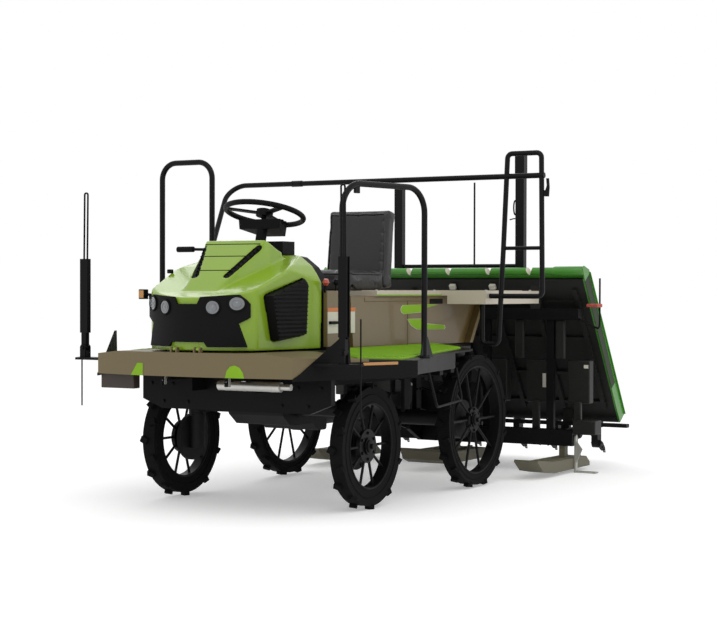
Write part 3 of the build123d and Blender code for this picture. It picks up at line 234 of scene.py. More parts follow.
FINISHES = {
    f.slot: f
    for f in (
        Finish("bonnet_green", (0.225, 0.370, 0.016), 0.24, coat=0.3, mottle=0.02, specular=0.4),
        Finish("side_bronze", (0.142, 0.097, 0.033), 0.34, metallic=0.1, coat=0.2, mottle=0.03),
        Finish("pale_trim", (0.52, 0.47, 0.37), 0.34, metallic=0.1, coat=0.3, mottle=0.03),
        Finish("black_plastic", (0.005, 0.005, 0.0055), 0.5, texture=Texture.GRAIN, specular=0.08),
        Finish("mat_green", (0.225, 0.43, 0.022), 0.6, texture=Texture.GRAIN, specular=0.15),
        Finish("frame_black", (0.005, 0.005, 0.0055), 0.45, specular=0.10),
        Finish("rail_grey", (0.005, 0.005, 0.006), 0.34, specular=0.13),
        Finish("silver_steel", (0.50, 0.49, 0.46), 0.36, metallic=0.9, texture=Texture.BRUSHED),
        Finish("cast_grey", (0.008, 0.008, 0.008), 0.55, texture=Texture.CAST, specular=0.18),
        Finish("wheel_black", (0.005, 0.005, 0.005), 0.45, specular=0.12),
        Finish("tyre_rubber", (0.006, 0.006, 0.006), 0.75, texture=Texture.GRAIN, specular=0.08),
        Finish("seat_vinyl", (0.009, 0.009, 0.010), 0.40, texture=Texture.GRAIN, relief=0.1),
        Finish("lamp_glass", (0.16, 0.17, 0.18), 0.12, metallic=0.3, coat=1.0),
        Finish("tray_green", (0.045, 0.235, 0.013), 0.36, coat=0.2),
        Finish("tray_black", (0.012, 0.012, 0.011), 0.48, specular=0.25),
        # A darker copy of the tray's green, which paints the shade on the outside of the tray's walls.
        Finish("tray_painted_shade", (0.012, 0.026, 0.006), 0.5, specular=0.2, record_slot="tray_green"),
        Finish("float_olive", (0.13, 0.12, 0.075), 0.58, texture=Texture.GRAIN),
        Finish("stand_grey", (0.42, 0.42, 0.38), 0.42, metallic=0.5),
        Finish("orange_band", (0.62, 0.16, 0.02), 0.40, record_slot="black_plastic"),
        Finish("reflector_amber", (0.46, 0.20, 0.03), 0.2, coat=0.8, record_slot="lamp_glass"),
        Finish("lever_red", (0.42, 0.05, 0.03), 0.35, coat=0.4, record_slot="black_plastic"),
        Finish("cream_plate", (0.62, 0.60, 0.50), 0.45, record_slot="pale_trim"),
        Finish(
            "brown_step",
            (0.030, 0.019, 0.012),
            0.5,
            texture=Texture.GRAIN,
            record_slot="black_plastic",
        ),
        Finish(
            "floor_paint",
            (0.007, 0.007, 0.0075),
            0.42,
            specular=0.2,
            front_colour=CHAMPAGNE,
            front_limit=-0.30,
        ),
    )
}

NODE_FINISHES = {"platform": "floor_paint"}


def smooth(obj: bpy.types.Object, angle: float = 32.0) -> None:
    """Shade an object smooth, but keep edges sharper than an angle.

    Args:
        obj: The mesh object.
        angle: The limit in degrees.
    """
    mesh = obj.data
    mesh.polygons.foreach_set("use_smooth", [True] * len(mesh.polygons))
    mesh.set_sharp_from_angle(angle=math.radians(angle))


def turns(count: int) -> list[float]:
    """Angles evenly spaced round a full turn, in radians."""
    return [2 * math.pi * k / count for k in range(count)]


def bevelled(obj: bpy.types.Object, width: float) -> bpy.types.Modifier:
    """Give an object small bevels on its sharp edges.

    Args:
        obj: The mesh object.
        width: The bevel's width.

    Returns:
        The bevel modifier.
    """
    edge = obj.modifiers.new("edge", "BEVEL")
    edge.width = width
    edge.segments = 2
    edge.limit_method = "ANGLE"
    edge.angle_limit = math.radians(BEVEL_ANGLE)
    return edge


def across_path(axis: Vector) -> tuple[Vector, Vector]:
    """Two directions square to an axis and to each other.

    Args:
        axis: The axis, with length 1.

    Returns:
        Both directions, each with length 1.
    """
    other = Vector((0, 0, 1)) if abs(axis.z) < NEARLY_UPRIGHT else Vector((1, 0, 0))
    first = axis.cross(other).normalized()
    return first, axis.cross(first).normalized()


def bent(points: Sequence[Point], radius: float, steps: int = 5) -> list[Point]:
    """Round the inner corners of a path.

    Args:
        points: The path's corners.
        radius: How far from a corner its curve starts.
        steps: Pieces in each curve.

    Returns:
        The path with short straight pieces round its corners.
    """
    path = [tuple(points[0])]
    for before, corner, after in zip(points, points[1:], points[2:]):
        a, b, c = Vector(before), Vector(corner), Vector(after)
        start = b + (a - b).normalized() * min(radius, (a - b).length / 2)
        end = b + (c - b).normalized() * min(radius, (c - b).length / 2)
        for i in range(steps + 1):
            t = i / steps
            path.append(tuple(start * (1 - t) ** 2 + b * 2 * t * (1 - t) + end * t**2))
    path.append(tuple(points[-1]))
    return path


@dataclass
class Piece:
    """Mesh under construction, in metres from the ground under the front axle."""

    name: str
    slot: str
    body: str
    bevel: float = 0.0
    mesh: bmesh.types.BMesh = field(default_factory=bmesh.new)

    def box(self, centre: Point, size: Point, turn: Matrix | None = None) -> "Piece":
        """Add a box.

        Args:
            centre: Its middle.
            size: Its lengths along its own axes.
            turn: Its rotation.

        Returns:
            This piece.
        """
        matrix = Matrix.Translation(centre) @ (turn or Matrix()).to_4x4()
        bmesh.ops.create_cube(self.mesh, size=1.0, matrix=matrix @ Matrix.Diagonal((*size, 1)))
        return self

    def prism(self, outline: Sequence[Point], out: Point) -> "Piece":
        """Add a polygon extruded along a vector.

        Args:
            outline: The polygon's corners.
            out: The vector from its first face to its last.

        Returns:
            This piece.
        """
        low = [self.mesh.verts.new(p) for p in outline]
        high = [self.mesh.verts.new(Vector(p) + Vector(out)) for p in outline]
        self.mesh.faces.new(low)
        self.mesh.faces.new(high[::-1])
        for i, corner in enumerate(low):
            j = (i + 1) % len(low)
            self.mesh.faces.new((corner, high[i], high[j], low[j]))
        return self

    def tube(
        self, path: Sequence[Point], radius: float, sides: int = 12, closed: bool = False
    ) -> "Piece":
        """Add a round tube along a path.

        Args:
            path: The points of its middle line.
            radius: Its radius.
            sides: Faces round it.
            closed: Whether the path's end joins its start.

        Returns:
            This piece.
        """
        points = [Vector(p) for p in path]
        count = len(points)
        first, rings = None, []
        for i, point in enumerate(points):
            before = points[i - 1] if i or closed else point
            after = points[(i + 1) % count] if i + 1 < count or closed else point
            axis = (after - before).normalized()
            if first is None:
                first, _ = across_path(axis)
            first = (first - axis * first.dot(axis)).normalized()
            second = axis.cross(first)
            rings.append(
                [
                    self.mesh.verts.new(
                        point
                        + first * math.cos(a) * radius
                        + second * math.sin(a) * radius
                    )
                    for a in turns(sides)
                ]
            )
        for i in range(count if closed else count - 1):
            a, b = rings[i], rings[(i + 1) % count]
            for k in range(sides):
                j = (k + 1) % sides
                self.mesh.faces.new((a[k], a[j], b[j], b[k]))
        if not closed:
            self.mesh.faces.new(rings[0][::-1])
            self.mesh.faces.new(rings[-1])
        return self

    def lathe(
        self, centre: Point, axis: Point, profile: Sequence[Flat], segments: int = 32
    ) -> "Piece":
        """Add a body turned round an axis.

        Args:
            centre: A point on the axis.
            axis: The axis' direction.
            profile: Radius and height along the axis of each corner, from one end to the other.
            segments: Faces round it.

        Returns:
            This piece.
        """
        along = Vector(axis).normalized()
        first, second = across_path(along)
        rings = []
        for radius, height in profile:
            middle = Vector(centre) + along * height
            rings.append(
                [
                    self.mesh.verts.new(
                        middle
                        + (first * math.cos(a) + second * math.sin(a)) * max(radius, LEAST_RADIUS)
                    )
                    for a in turns(segments)
                ]
            )
        for a, b in zip(rings, rings[1:]):
            for k in range(segments):
                j = (k + 1) % segments
                self.mesh.faces.new((a[k], a[j], b[j], b[k]))
        self.mesh.faces.new(rings[0][::-1])
        self.mesh.faces.new(rings[-1])
        return self

    def bolt(self, centre: Point, axis: Point, width: float = 0.009, rise: float = 0.007) -> "Piece":
        """Add a hexagon bolt head on a washer.

        Args:
            centre: The middle of the face that it is bolted to.
            axis: The direction that it stands out in.
            width: The head's radius at its corners.
            rise: The head's height.

        Returns:
            This piece.
        """
        washer = width * WASHER_SHARE
        self.lathe(centre, axis, ((washer, -WASHER_SINK), (washer, WASHER_RISE)), WASHER_ROUND)
        head = ((width, 0), (width, rise), (width * BOLT_TOP_SHARE, rise + BOLT_CHAMFER))
        return self.lathe(centre, axis, head, HEXAGON)

    def ring(self, centre: Point, axis: Point, radius: float, wire: float, segments: int = 48) -> "Piece":
        """Add a round wire ring.

        Args:
            centre: Its middle.
            axis: The direction that it faces.
            radius: The radius of its middle line.
            wire: The wire's radius.
            segments: Straight pieces round it.

        Returns:
            This piece.
        """
        first, second = across_path(Vector(axis).normalized())
        path = [
            Vector(centre) + (first * math.cos(a) + second * math.sin(a)) * radius
            for a in turns(segments)
        ]
        return self.tube(path, wire, WIRE_SIDES, closed=True)

    def done(self) -> bpy.types.Object:
        """Turn the mesh into an object that rides its body.

        Returns:
            The new object.
        """
        bmesh.ops.recalc_face_normals(self.mesh, faces=self.mesh.faces)
        data = bpy.data.meshes.new(self.name)
        self.mesh.transform(Matrix.Translation((0, FRONT_AXLE_Y, 0)))
        self.mesh.to_mesh(data)
        self.mesh.free()
        obj = bpy.data.objects.new(self.name, data)
        bpy.context.scene.collection.objects.link(obj)
        data.materials.append(FINISHES[self.slot].material())
        if self.bevel:
            bevelled(obj, self.bevel)
        smooth(obj)
        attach(obj, self.body)
        log.info("piece %s: %d faces on %s", self.name, len(data.polygons), self.body)
        return obj


@dataclass
class CadNodes:
    """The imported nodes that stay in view, with finishes and softened edges."""

    bevel: float = 0.0022
    plain: tuple[str, ...] = ("seedling_tray",)

    def dress(self) -> None:
        """Give every node its slot's finish and smooth shading, and every node but the plain ones a small
        bevel.
        """
        slots = {s["node"]: s["material_slot"] for s in frame["record"]["subparts"]}
        for name, node in frame["nodes"].items():
            slot = NODE_FINISHES.get(name, slots[name])
            node.data.materials.clear()
            node.data.materials.append(FINISHES[slot].material())
            if not any(word in name for word in self.plain):
                bevelled(node, self.bevel).harden_normals = True
            smooth(node)
            log.info("node %s: %s", name, slot)


def applied(obj: bpy.types.Object) -> None:
    """Put an object's modifiers into its mesh.

    Args:
        obj: The mesh object, which keeps none of its modifiers.
    """
    bpy.context.view_layer.update()
    graph = bpy.context.evaluated_depsgraph_get()
    done = bpy.data.meshes.new_from_object(obj.evaluated_get(graph))
    obj.modifiers.clear()
    obj.data = done


def span(outline: Sequence[Flat], level: float) -> tuple[float, float] | None:
    """Where a level line crosses a closed outline.

    Args:
        outline: Its corners.
        level: The second coordinate of the line.

    Returns:
        The least and greatest first coordinate, or None where the line misses it.
    """
    found = []
    for (a, p), (b, q) in zip(outline, (*outline[1:], outline[0])):
        if (p - level) * (q - level) < 0:
            found.append(a + (b - a) * (level - p) / (q - p))
    return (min(found), max(found)) if found else None


def floor_height(half: float) -> float:
    """Height of the floor's top at a distance from the machine's middle."""
    return FLOOR_TOP - max(0.0, half - FLOOR_LEVEL_HALF) * FLOOR_FALL


@dataclass
class BonnetSkin:
    """The bonnet's panels with the round pressed edges of sheet metal."""

    node: str = "bonnet"
    voxel: float = 0.0055
    passes: int = 20
    smoothing: float = 0.5
    shade_angle: float = 80.0

    def build(self) -> None:
        """Remesh a copy of the bonnet evenly and soften its edges."""
        source = frame["nodes"][self.node]
        skin = bpy.data.objects.new("bonnet_skin", source.data.copy())
        skin.matrix_world = source.matrix_world.copy()
        bpy.context.scene.collection.objects.link(skin)
        remesh = skin.modifiers.new("even", "REMESH")
        remesh.mode = "VOXEL"
        remesh.voxel_size = self.voxel
        soften = skin.modifiers.new("soften", "SMOOTH")
        soften.factor = self.smoothing
        soften.iterations = self.passes
        applied(skin)
        skin.data.materials.clear()
        skin.data.materials.append(FINISHES["bonnet_green"].material())
        smooth(skin, self.shade_angle)
        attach(skin, "bonnet")
        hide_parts(self.node)
        log.info("piece %s: %d faces", skin.name, len(skin.data.polygons))


@dataclass
class BonnetDress:
    """Grille slats, lamp rings, painted shade in the grooves, vent slats and the small lamp of the
    bonnet.
    """

    body: str = "bonnet"
    grille: tuple[Flat, ...] = (
        (-0.592, 1.134), (-0.285, 1.222), (-0.250, 1.190), (-0.268, 0.933), (-0.535, 0.903),
    )
    slat_face: float = 0.394
    slat_depth: float = 0.012
    slat_height: float = 0.005
    slat_margin: float = 0.005
    slat_pitch: float = 0.0215
    slat_tilt: float = 20.0
    slat_bevel: float = 0.0012
    slat_least: float = 0.03
    lamps: tuple[Flat, ...] = ((0.148, 1.075), (0.262, 1.094))
    lamp_radius: float = 0.034
    ring_wire: float = 0.0048
    ring_gap: float = 0.003
    ring_points: int = 40
    ring_out: float = 0.004
    inner_ring_share: float = 0.62
    inner_ring_wire: float = 0.0022
    inner_ring_out: float = 0.0055
    bulb: tuple[Flat, ...] = ((0.010, 0), (0.010, 0.002), (0.005, 0.005))
    nose_centre: float = -0.3012
    mask_radius: float = 0.4978
    ridge_top: Flat = (-0.352, 1.428)
    ridge_run: float = 0.338
    ridge_drop: float = 0.278
    # Height and half length of each groove across the middle panel, where a thin black strip paints its
    # shade.
    grooves: tuple[Flat, ...] = ((1.405, 0.174), (1.340, 0.152), (1.265, 0.126))
    groove_shade_width: float = 0.006
    groove_shade_height: float = 0.0016
    vent_low: Point = (0.100, -0.595, 1.228)
    vent_high: Point = (0.187, -0.387, 1.400)
    vent_facing: Point = (0.609, -0.537, 0.341)
    vent_slat: Point = (0.004, 0.023, 0.008)
    vent_slats: int = 9
    vent_sink: float = 0.011
    side_lamp: Point = (-0.405, -0.620, 1.140)
    side_lamp_size: Point = (0.040, 0.036, 0.052)
    side_lamp_arm: tuple[Point, ...] = ((-0.395, -0.620, 1.140), (-0.330, -0.620, 1.135))
    side_lamp_bevel: float = 0.004
    side_lamp_lens: Point = (0.030, 0.004, 0.040)
    lens_out: float = 0.0015
    lens_bevel: float = 0.002
    arm_radius: float = 0.007
    knob: Point = (-0.355, -0.450, 1.262)
    knob_size: Point = (0.034, 0.016, 0.022)

    def build(self) -> None:
        """Make every piece of the bonnet."""
        self._grilles()
        self._lamps()
        self._groove_shade()
        self._vents()
        self._side_lamp()

    def _grilles(self) -> None:
        """Lay level slats over each side grille."""
        piece = Piece("grille_slats", "black_plastic", self.body, self.slat_bevel)
        low = min(z for _, z in self.grille)
        high = max(z for _, z in self.grille)
        for i in range(1, int((high - low) / self.slat_pitch) + 1):
            level = low + i * self.slat_pitch
            found = span(self.grille, level)
            if not found or found[1] - found[0] < self.slat_least:
                continue
            middle = (found[0] + found[1]) / 2
            length = found[1] - found[0] - 2 * self.slat_margin
            for side in Side:
                turn = Matrix.Rotation(math.radians(self.slat_tilt * side.value), 3, "Y")
                size = (self.slat_depth, length, self.slat_height)
                piece.box((side.value * self.slat_face, middle, level), size, turn)
        piece.done()

    def _on_mask(self, x: float, z: float, out: float) -> Point:
        """Point on the mask's round face, moved outwards."""
        reach = math.sqrt((self.mask_radius + out) ** 2 - x * x)
        return (x, self.nose_centre - reach, z)

    def _lamps(self) -> None:
        """Ring each headlamp and put an inner ring and a bulb on its lens."""
        rings = Piece("lamp_rings", "black_plastic", self.body)
        bulbs = Piece("lamp_bulbs", "lamp_glass", self.body)
        inner = self.lamp_radius * self.inner_ring_share
        for side in Side:
            for x, z in self.lamps:
                for piece, radius, wire, out in (
                    (rings, self.lamp_radius + self.ring_gap, self.ring_wire, self.ring_out),
                    (bulbs, inner, self.inner_ring_wire, self.inner_ring_out),
                ):
                    path = []
                    for turn in turns(self.ring_points):
                        place = (
                            side.value * x + radius * math.cos(turn),
                            z + radius * math.sin(turn),
                        )
                        path.append(self._on_mask(*place, out))
                    piece.tube(path, wire, WIRE_SIDES, closed=True)
                centre = self._on_mask(side.value * x, z, self.ring_out)
                axis = (side.value * x, centre[1] - self.nose_centre, 0)
                bulbs.lathe(centre, axis, self.bulb, SMALL_ROUND)
        rings.done()
        bulbs.done()

    def _groove_shade(self) -> None:
        """Paint the shade in the three grooves across the raised middle panel with thin black strips."""
        piece = Piece("bonnet_groove_shade", "black_plastic", self.body)
        slope = math.atan2(self.ridge_drop, self.ridge_run)
        turn = Matrix.Rotation(slope, 3, "X")
        back, top = self.ridge_top
        for height, half in self.grooves:
            centre = (0, back - (top - height) / math.tan(slope), height)
            piece.box(centre, (2 * half, self.groove_shade_width, self.groove_shade_height), turn)
        piece.done()

    def _vents(self) -> None:
        """Set small slats across both vent slots."""
        piece = Piece("vent_slats", "black_plastic", self.body)
        for side in Side:
            low, high, out = (
                Vector((side.value * p[0], p[1], p[2]))
                for p in (self.vent_low, self.vent_high, self.vent_facing)
            )
            along, out = (high - low).normalized(), out.normalized()
            turn = Matrix((along, out.cross(along), out)).transposed()
            for i in range(1, self.vent_slats + 1):
                place = low.lerp(high, i / (self.vent_slats + 1)) - out * self.vent_sink
                piece.box(tuple(place), self.vent_slat, turn)
        piece.done()

    def _side_lamp(self) -> None:
        """Put the small lamp and the knob on the bonnet's right side."""
        piece = Piece("side_lamp", "black_plastic", self.body, self.side_lamp_bevel)
        piece.box(self.side_lamp, self.side_lamp_size)
        piece.tube(self.side_lamp_arm, self.arm_radius)
        piece.box(self.knob, self.knob_size)
        piece.done()
        x, y, z = self.side_lamp
        front = y - self.side_lamp_size[1] / 2 - self.lens_out
        lens = Piece("side_lamp_lens", "reflector_amber", self.body, self.lens_bevel)
        lens.box((x, front, z), self.side_lamp_lens).done()


@dataclass
class FloorDress:
    """Ribs of the mats, reflectors and patches on the floor's edge."""

    body: str = "chassis"
    mat: tuple[Flat, ...] = (
        (0.850, -0.070), (0.845, 0.010), (0.800, 0.240), (0.657, 1.010), (0.630, 1.050),
        (0.470, 1.050), (0.470, 0.030), (0.640, -0.330), (0.735, -0.330),
    )
    mat_rise: float = 0.008
    rib_start: float = -0.310
    rib_run: float = 1.34
    rib_pitch: float = 0.034
    rib_width: float = 0.013
    rib_height: float = 0.0065
    rib_margin: float = 0.014
    rib_sink: float = 0.001
    rib_least: float = 0.05
    reflector: Point = (0.8182, -0.2356, 0.787)
    reflector_size: Point = (0.004, 0.230, 0.015)
    reflector_bevel: float = 0.0015
    edge_turn: float = -21.8
    patches: tuple[tuple[Flat, ...], ...] = (
        (
            (0.245, 0.722), (0.352, 0.722), (0.344, 0.752), (0.326, 0.775), (0.300, 0.786),
            (0.274, 0.780), (0.255, 0.758),
        ),
        ((-0.352, 0.722), (-0.268, 0.722), (-0.268, 0.786), (-0.306, 0.786)),
    )
    patch_depth: float = 0.003
    patch_out: float = 0.002
    front_radius: float = 2.649
    front_centre: float = 1.829
    step: Point = (-0.495, -0.700, 0.684)
    step_size: Point = (0.215, 0.055, 0.077)
    step_bevel: float = 0.004

    def build(self) -> None:
        """Make every piece of the floor."""
        self._ribs()
        self._reflectors()
        self._patches()
        self._step()

    def _ribs(self) -> None:
        """Lay ribs across both mats."""
        piece = Piece("mat_ribs", "mat_green", self.body)
        for i in range(int(self.rib_run / self.rib_pitch)):
            back = self.rib_start + i * self.rib_pitch
            found = span(self.mat, back)
            if not found or found[1] - found[0] < self.rib_least:
                continue
            ends = (found[0] + self.rib_margin, found[1] - self.rib_margin)
            for side in Side:
                rise = self.mat_rise - self.rib_sink
                low = [(side.value * x, floor_height(x) + rise) for x in ends]
                outline = [(x, back, z) for x, z in low]
                outline += [(x, back, z + self.rib_height) for x, z in reversed(low)]
                piece.prism(outline, (0, self.rib_width, 0))
        piece.done()

    def _reflectors(self) -> None:
        """Put an amber strip on each of the floor's slanting edges."""
        piece = Piece("edge_reflectors", "reflector_amber", self.body, self.reflector_bevel)
        x, y, z = self.reflector
        for side in Side:
            turn = Matrix.Rotation(math.radians(self.edge_turn * side.value), 3, "Z")
            piece.box((side.value * x, y, z), self.reflector_size, turn)
        piece.done()

    def _patches(self) -> None:
        """Lay a plain green patch on each side of the front band."""
        piece = Piece("front_pads", "mat_green", self.body)
        for patch in self.patches:
            outline = []
            for x, z in patch:
                reach = math.sqrt(self.front_radius**2 - x * x)
                outline.append((x, self.front_centre - reach - self.patch_out, z))
            piece.prism(outline, (0, self.patch_depth, 0))
        piece.done()

    def _step(self) -> None:
        """Hang the brown step under the floor's right front corner."""
        piece = Piece("corner_step", "brown_step", self.body, self.step_bevel)
        piece.box(self.step, self.step_size).done()


@dataclass
class RailDress:
    """Foot plates, gusset, tab, sleeve and hook of the hoops and the guard rail."""

    body: str = "chassis"
    feet: tuple[Flat, ...] = (
        (0.705, -0.435), (0.842, 0.199), (-0.850, 0.150), (-0.500, 0.150), (-0.826, 0.330),
    )
    foot: tuple[Flat, ...] = ((0.036, -0.004), (0.036, 0.005), (0.033, 0.007))
    foot_bevel: float = 0.0015
    foot_bolt_radius: float = 0.027
    foot_bolt_turns: tuple[float, ...] = (45, 135, 225, 315)
    foot_bolt_rise: float = 0.006
    gusset_foot: Flat = (0.842, 0.199)
    gusset: tuple[Flat, ...] = ((-0.050, 0.0), (0.095, 0.0), (0.030, 0.112), (-0.014, 0.125))
    gusset_width: float = 0.006
    small_bolt: float = 0.005
    tab: Point = (0.729, -0.330, 1.676)
    tab_size: Point = (0.014, 0.038, 0.036)
    tab_turn: float = -12.0
    tab_bevel: float = 0.003
    rail_back: float = 1.210
    rail_height: float = 1.830
    sleeve: Flat = (-0.625, -0.552)
    sleeve_radius: float = 0.0195
    sleeve_sides: int = 24
    sleeve_bevel: float = 0.001
    sleeve_bolt_sink: float = 0.001
    sleeve_bolts: Flat = (-0.612, -0.565)
    ladder_reach: float = 1.080
    hook_depth: float = 0.008
    hook_bevel: float = 0.002
    hook: tuple[Flat, ...] = (
        (0.0, 1.708), (0.044, 1.706), (0.048, 1.760), (0.044, 1.812), (0.026, 1.812),
        (0.030, 1.770), (0.022, 1.745), (0.0, 1.738),
    )

    def build(self) -> None:
        """Make every fitting of the rails."""
        self._feet()
        self._sleeve()
        self._tab()
        self._hook()

    def _feet(self) -> None:
        """Set a round plate with bolts at each foot, and a gusset at one."""
        piece = Piece("rail_feet", "rail_grey", self.body, self.foot_bevel)
        for x, back in self.feet:
            top = floor_height(abs(x))
            piece.lathe((x, back, top), (0, 0, 1), self.foot, MIDDLE_ROUND)
            for turn in self.foot_bolt_turns:
                a = math.radians(turn)
                place = (
                    x + self.foot_bolt_radius * math.cos(a),
                    back + self.foot_bolt_radius * math.sin(a),
                    top + self.foot_bolt_rise,
                )
                piece.bolt(place, (0, 0, 1), self.small_bolt, self.small_bolt)
        x, back = self.gusset_foot
        top = floor_height(x)
        outline = [(x, back + y, top + z) for y, z in self.gusset]
        piece.prism(outline, (self.gusset_width, 0, 0)).done()

    def _tab(self) -> None:
        """Weld the small tab inside the left hoop's front bend."""
        piece = Piece("hoop_tab", "rail_grey", self.body, self.tab_bevel)
        turn = Matrix.Rotation(math.radians(self.tab_turn), 3, "Z")
        piece.box(self.tab, self.tab_size, turn).done()

    def _sleeve(self) -> None:
        """Put the joint's sleeve and its bolts on the long rail."""
        piece = Piece("rail_sleeve", "rail_grey", self.body, self.sleeve_bevel)
        ends = [(x, self.rail_back, self.rail_height) for x in self.sleeve]
        piece.tube(ends, self.sleeve_radius, self.sleeve_sides)
        front = self.rail_back - self.sleeve_radius + self.sleeve_bolt_sink
        for x in self.sleeve_bolts:
            place = (x, front, self.rail_height)
            piece.bolt(place, (0, -1, 0), self.small_bolt, self.small_bolt)
        piece.done()

    def _hook(self) -> None:
        """Put the hook's plate on the ladder's outer leg."""
        piece = Piece("ladder_hook", "rail_grey", self.body, self.hook_bevel)
        front = self.rail_back - self.hook_depth / 2
        outline = [(self.ladder_reach + x, front, z) for x, z in self.hook]
        piece.prism(outline, (0, self.hook_depth, 0)).done()


@dataclass
class DeckDress:
    """Treads, joints, bolts and the seat's slide lever on the rear deck."""

    body: str = "chassis"
    top: float = 1.160
    narrow_half: float = 0.462
    wide_half: float = 0.750
    step: float = 1.150
    tread_width: float = 0.016
    tread_height: float = 0.004
    tread_lift: float = 0.001
    tread_bevel: float = 0.001
    rear_treads: int = 11
    rear_tread_start: float = 1.260
    rear_tread_pitch: float = 0.058
    rear_tread_length: float = 0.400
    rear_columns: tuple[float, ...] = (-0.47, 0.0, 0.47)
    side_treads: int = 7
    side_tread_start: float = 0.480
    side_tread_pitch: float = 0.090
    side_tread_length: float = 0.130
    side_column: float = 0.365
    joint_width: float = 0.003
    joint_height: float = 0.0012
    joint_margin: float = 0.010
    joints: tuple[float, ...] = (1.190, 1.880)
    slide_lever: tuple[Point, ...] = (
        (0.243, 0.520, 1.166), (0.262, 0.452, 1.182), (0.266, 0.425, 1.188),
    )
    slide_rod: float = 0.005
    slide_grip: float = 0.009
    bolt_stations: tuple[float, ...] = (0.41, 1.11, 1.22, 1.85)
    bolt_margin: float = 0.030
    bolt: Flat = (0.007, 0.005)
    edge_line_out: float = 0.0005
    edge_line_back: float = 0.755
    edge_line_height: float = 1.136
    edge_line: Point = (0.004, 0.780, 0.006)

    def build(self) -> None:
        """Make every fitting of the deck."""
        self._treads()
        self._joints()
        self._bolts()
        self._edge_lines()

    def _treads(self) -> None:
        """Raise treads behind the seat and on both sides of it."""
        piece = Piece("deck_treads", "pale_trim", self.body, self.tread_bevel)
        level = self.top + self.tread_lift
        for i in range(self.rear_treads):
            back = self.rear_tread_start + i * self.rear_tread_pitch
            for x in self.rear_columns:
                size = (self.rear_tread_length, self.tread_width, self.tread_height)
                piece.box((x, back, level), size)
        for side in Side:
            for i in range(self.side_treads):
                back = self.side_tread_start + i * self.side_tread_pitch
                size = (self.side_tread_length, self.tread_width, self.tread_height)
                piece.box((side.value * self.side_column, back, level), size)
        piece.done()

    def _joints(self) -> None:
        """Draw the deck's joints and set the slide lever beside the seat."""
        piece = Piece("deck_joints", "black_plastic", self.body)
        for back in self.joints:
            size = (2 * (self.wide_half - self.joint_margin), self.joint_width, self.joint_height)
            piece.box((0, back, self.top), size)
        piece.tube(self.slide_lever[:2], self.slide_rod)
        piece.tube(self.slide_lever[1:], self.slide_grip)
        piece.done()

    def _bolts(self) -> None:
        """Bolt the deck down along both edges."""
        piece = Piece("deck_bolts", "silver_steel", self.body)
        for side in Side:
            for back in self.bolt_stations:
                half = self.narrow_half if back < self.step else self.wide_half
                place = (side.value * (half - self.bolt_margin), back, self.top)
                piece.bolt(place, (0, 0, 1), *self.bolt)
        piece.done()

    def _edge_lines(self) -> None:
        """Run a green line under the deck's edge on both sides."""
        piece = Piece("deck_edge_lines", "mat_green", self.body)
        for side in Side:
            x = side.value * (self.narrow_half + self.edge_line_out)
            piece.box((x, self.edge_line_back, self.edge_line_height), self.edge_line)
        piece.done()


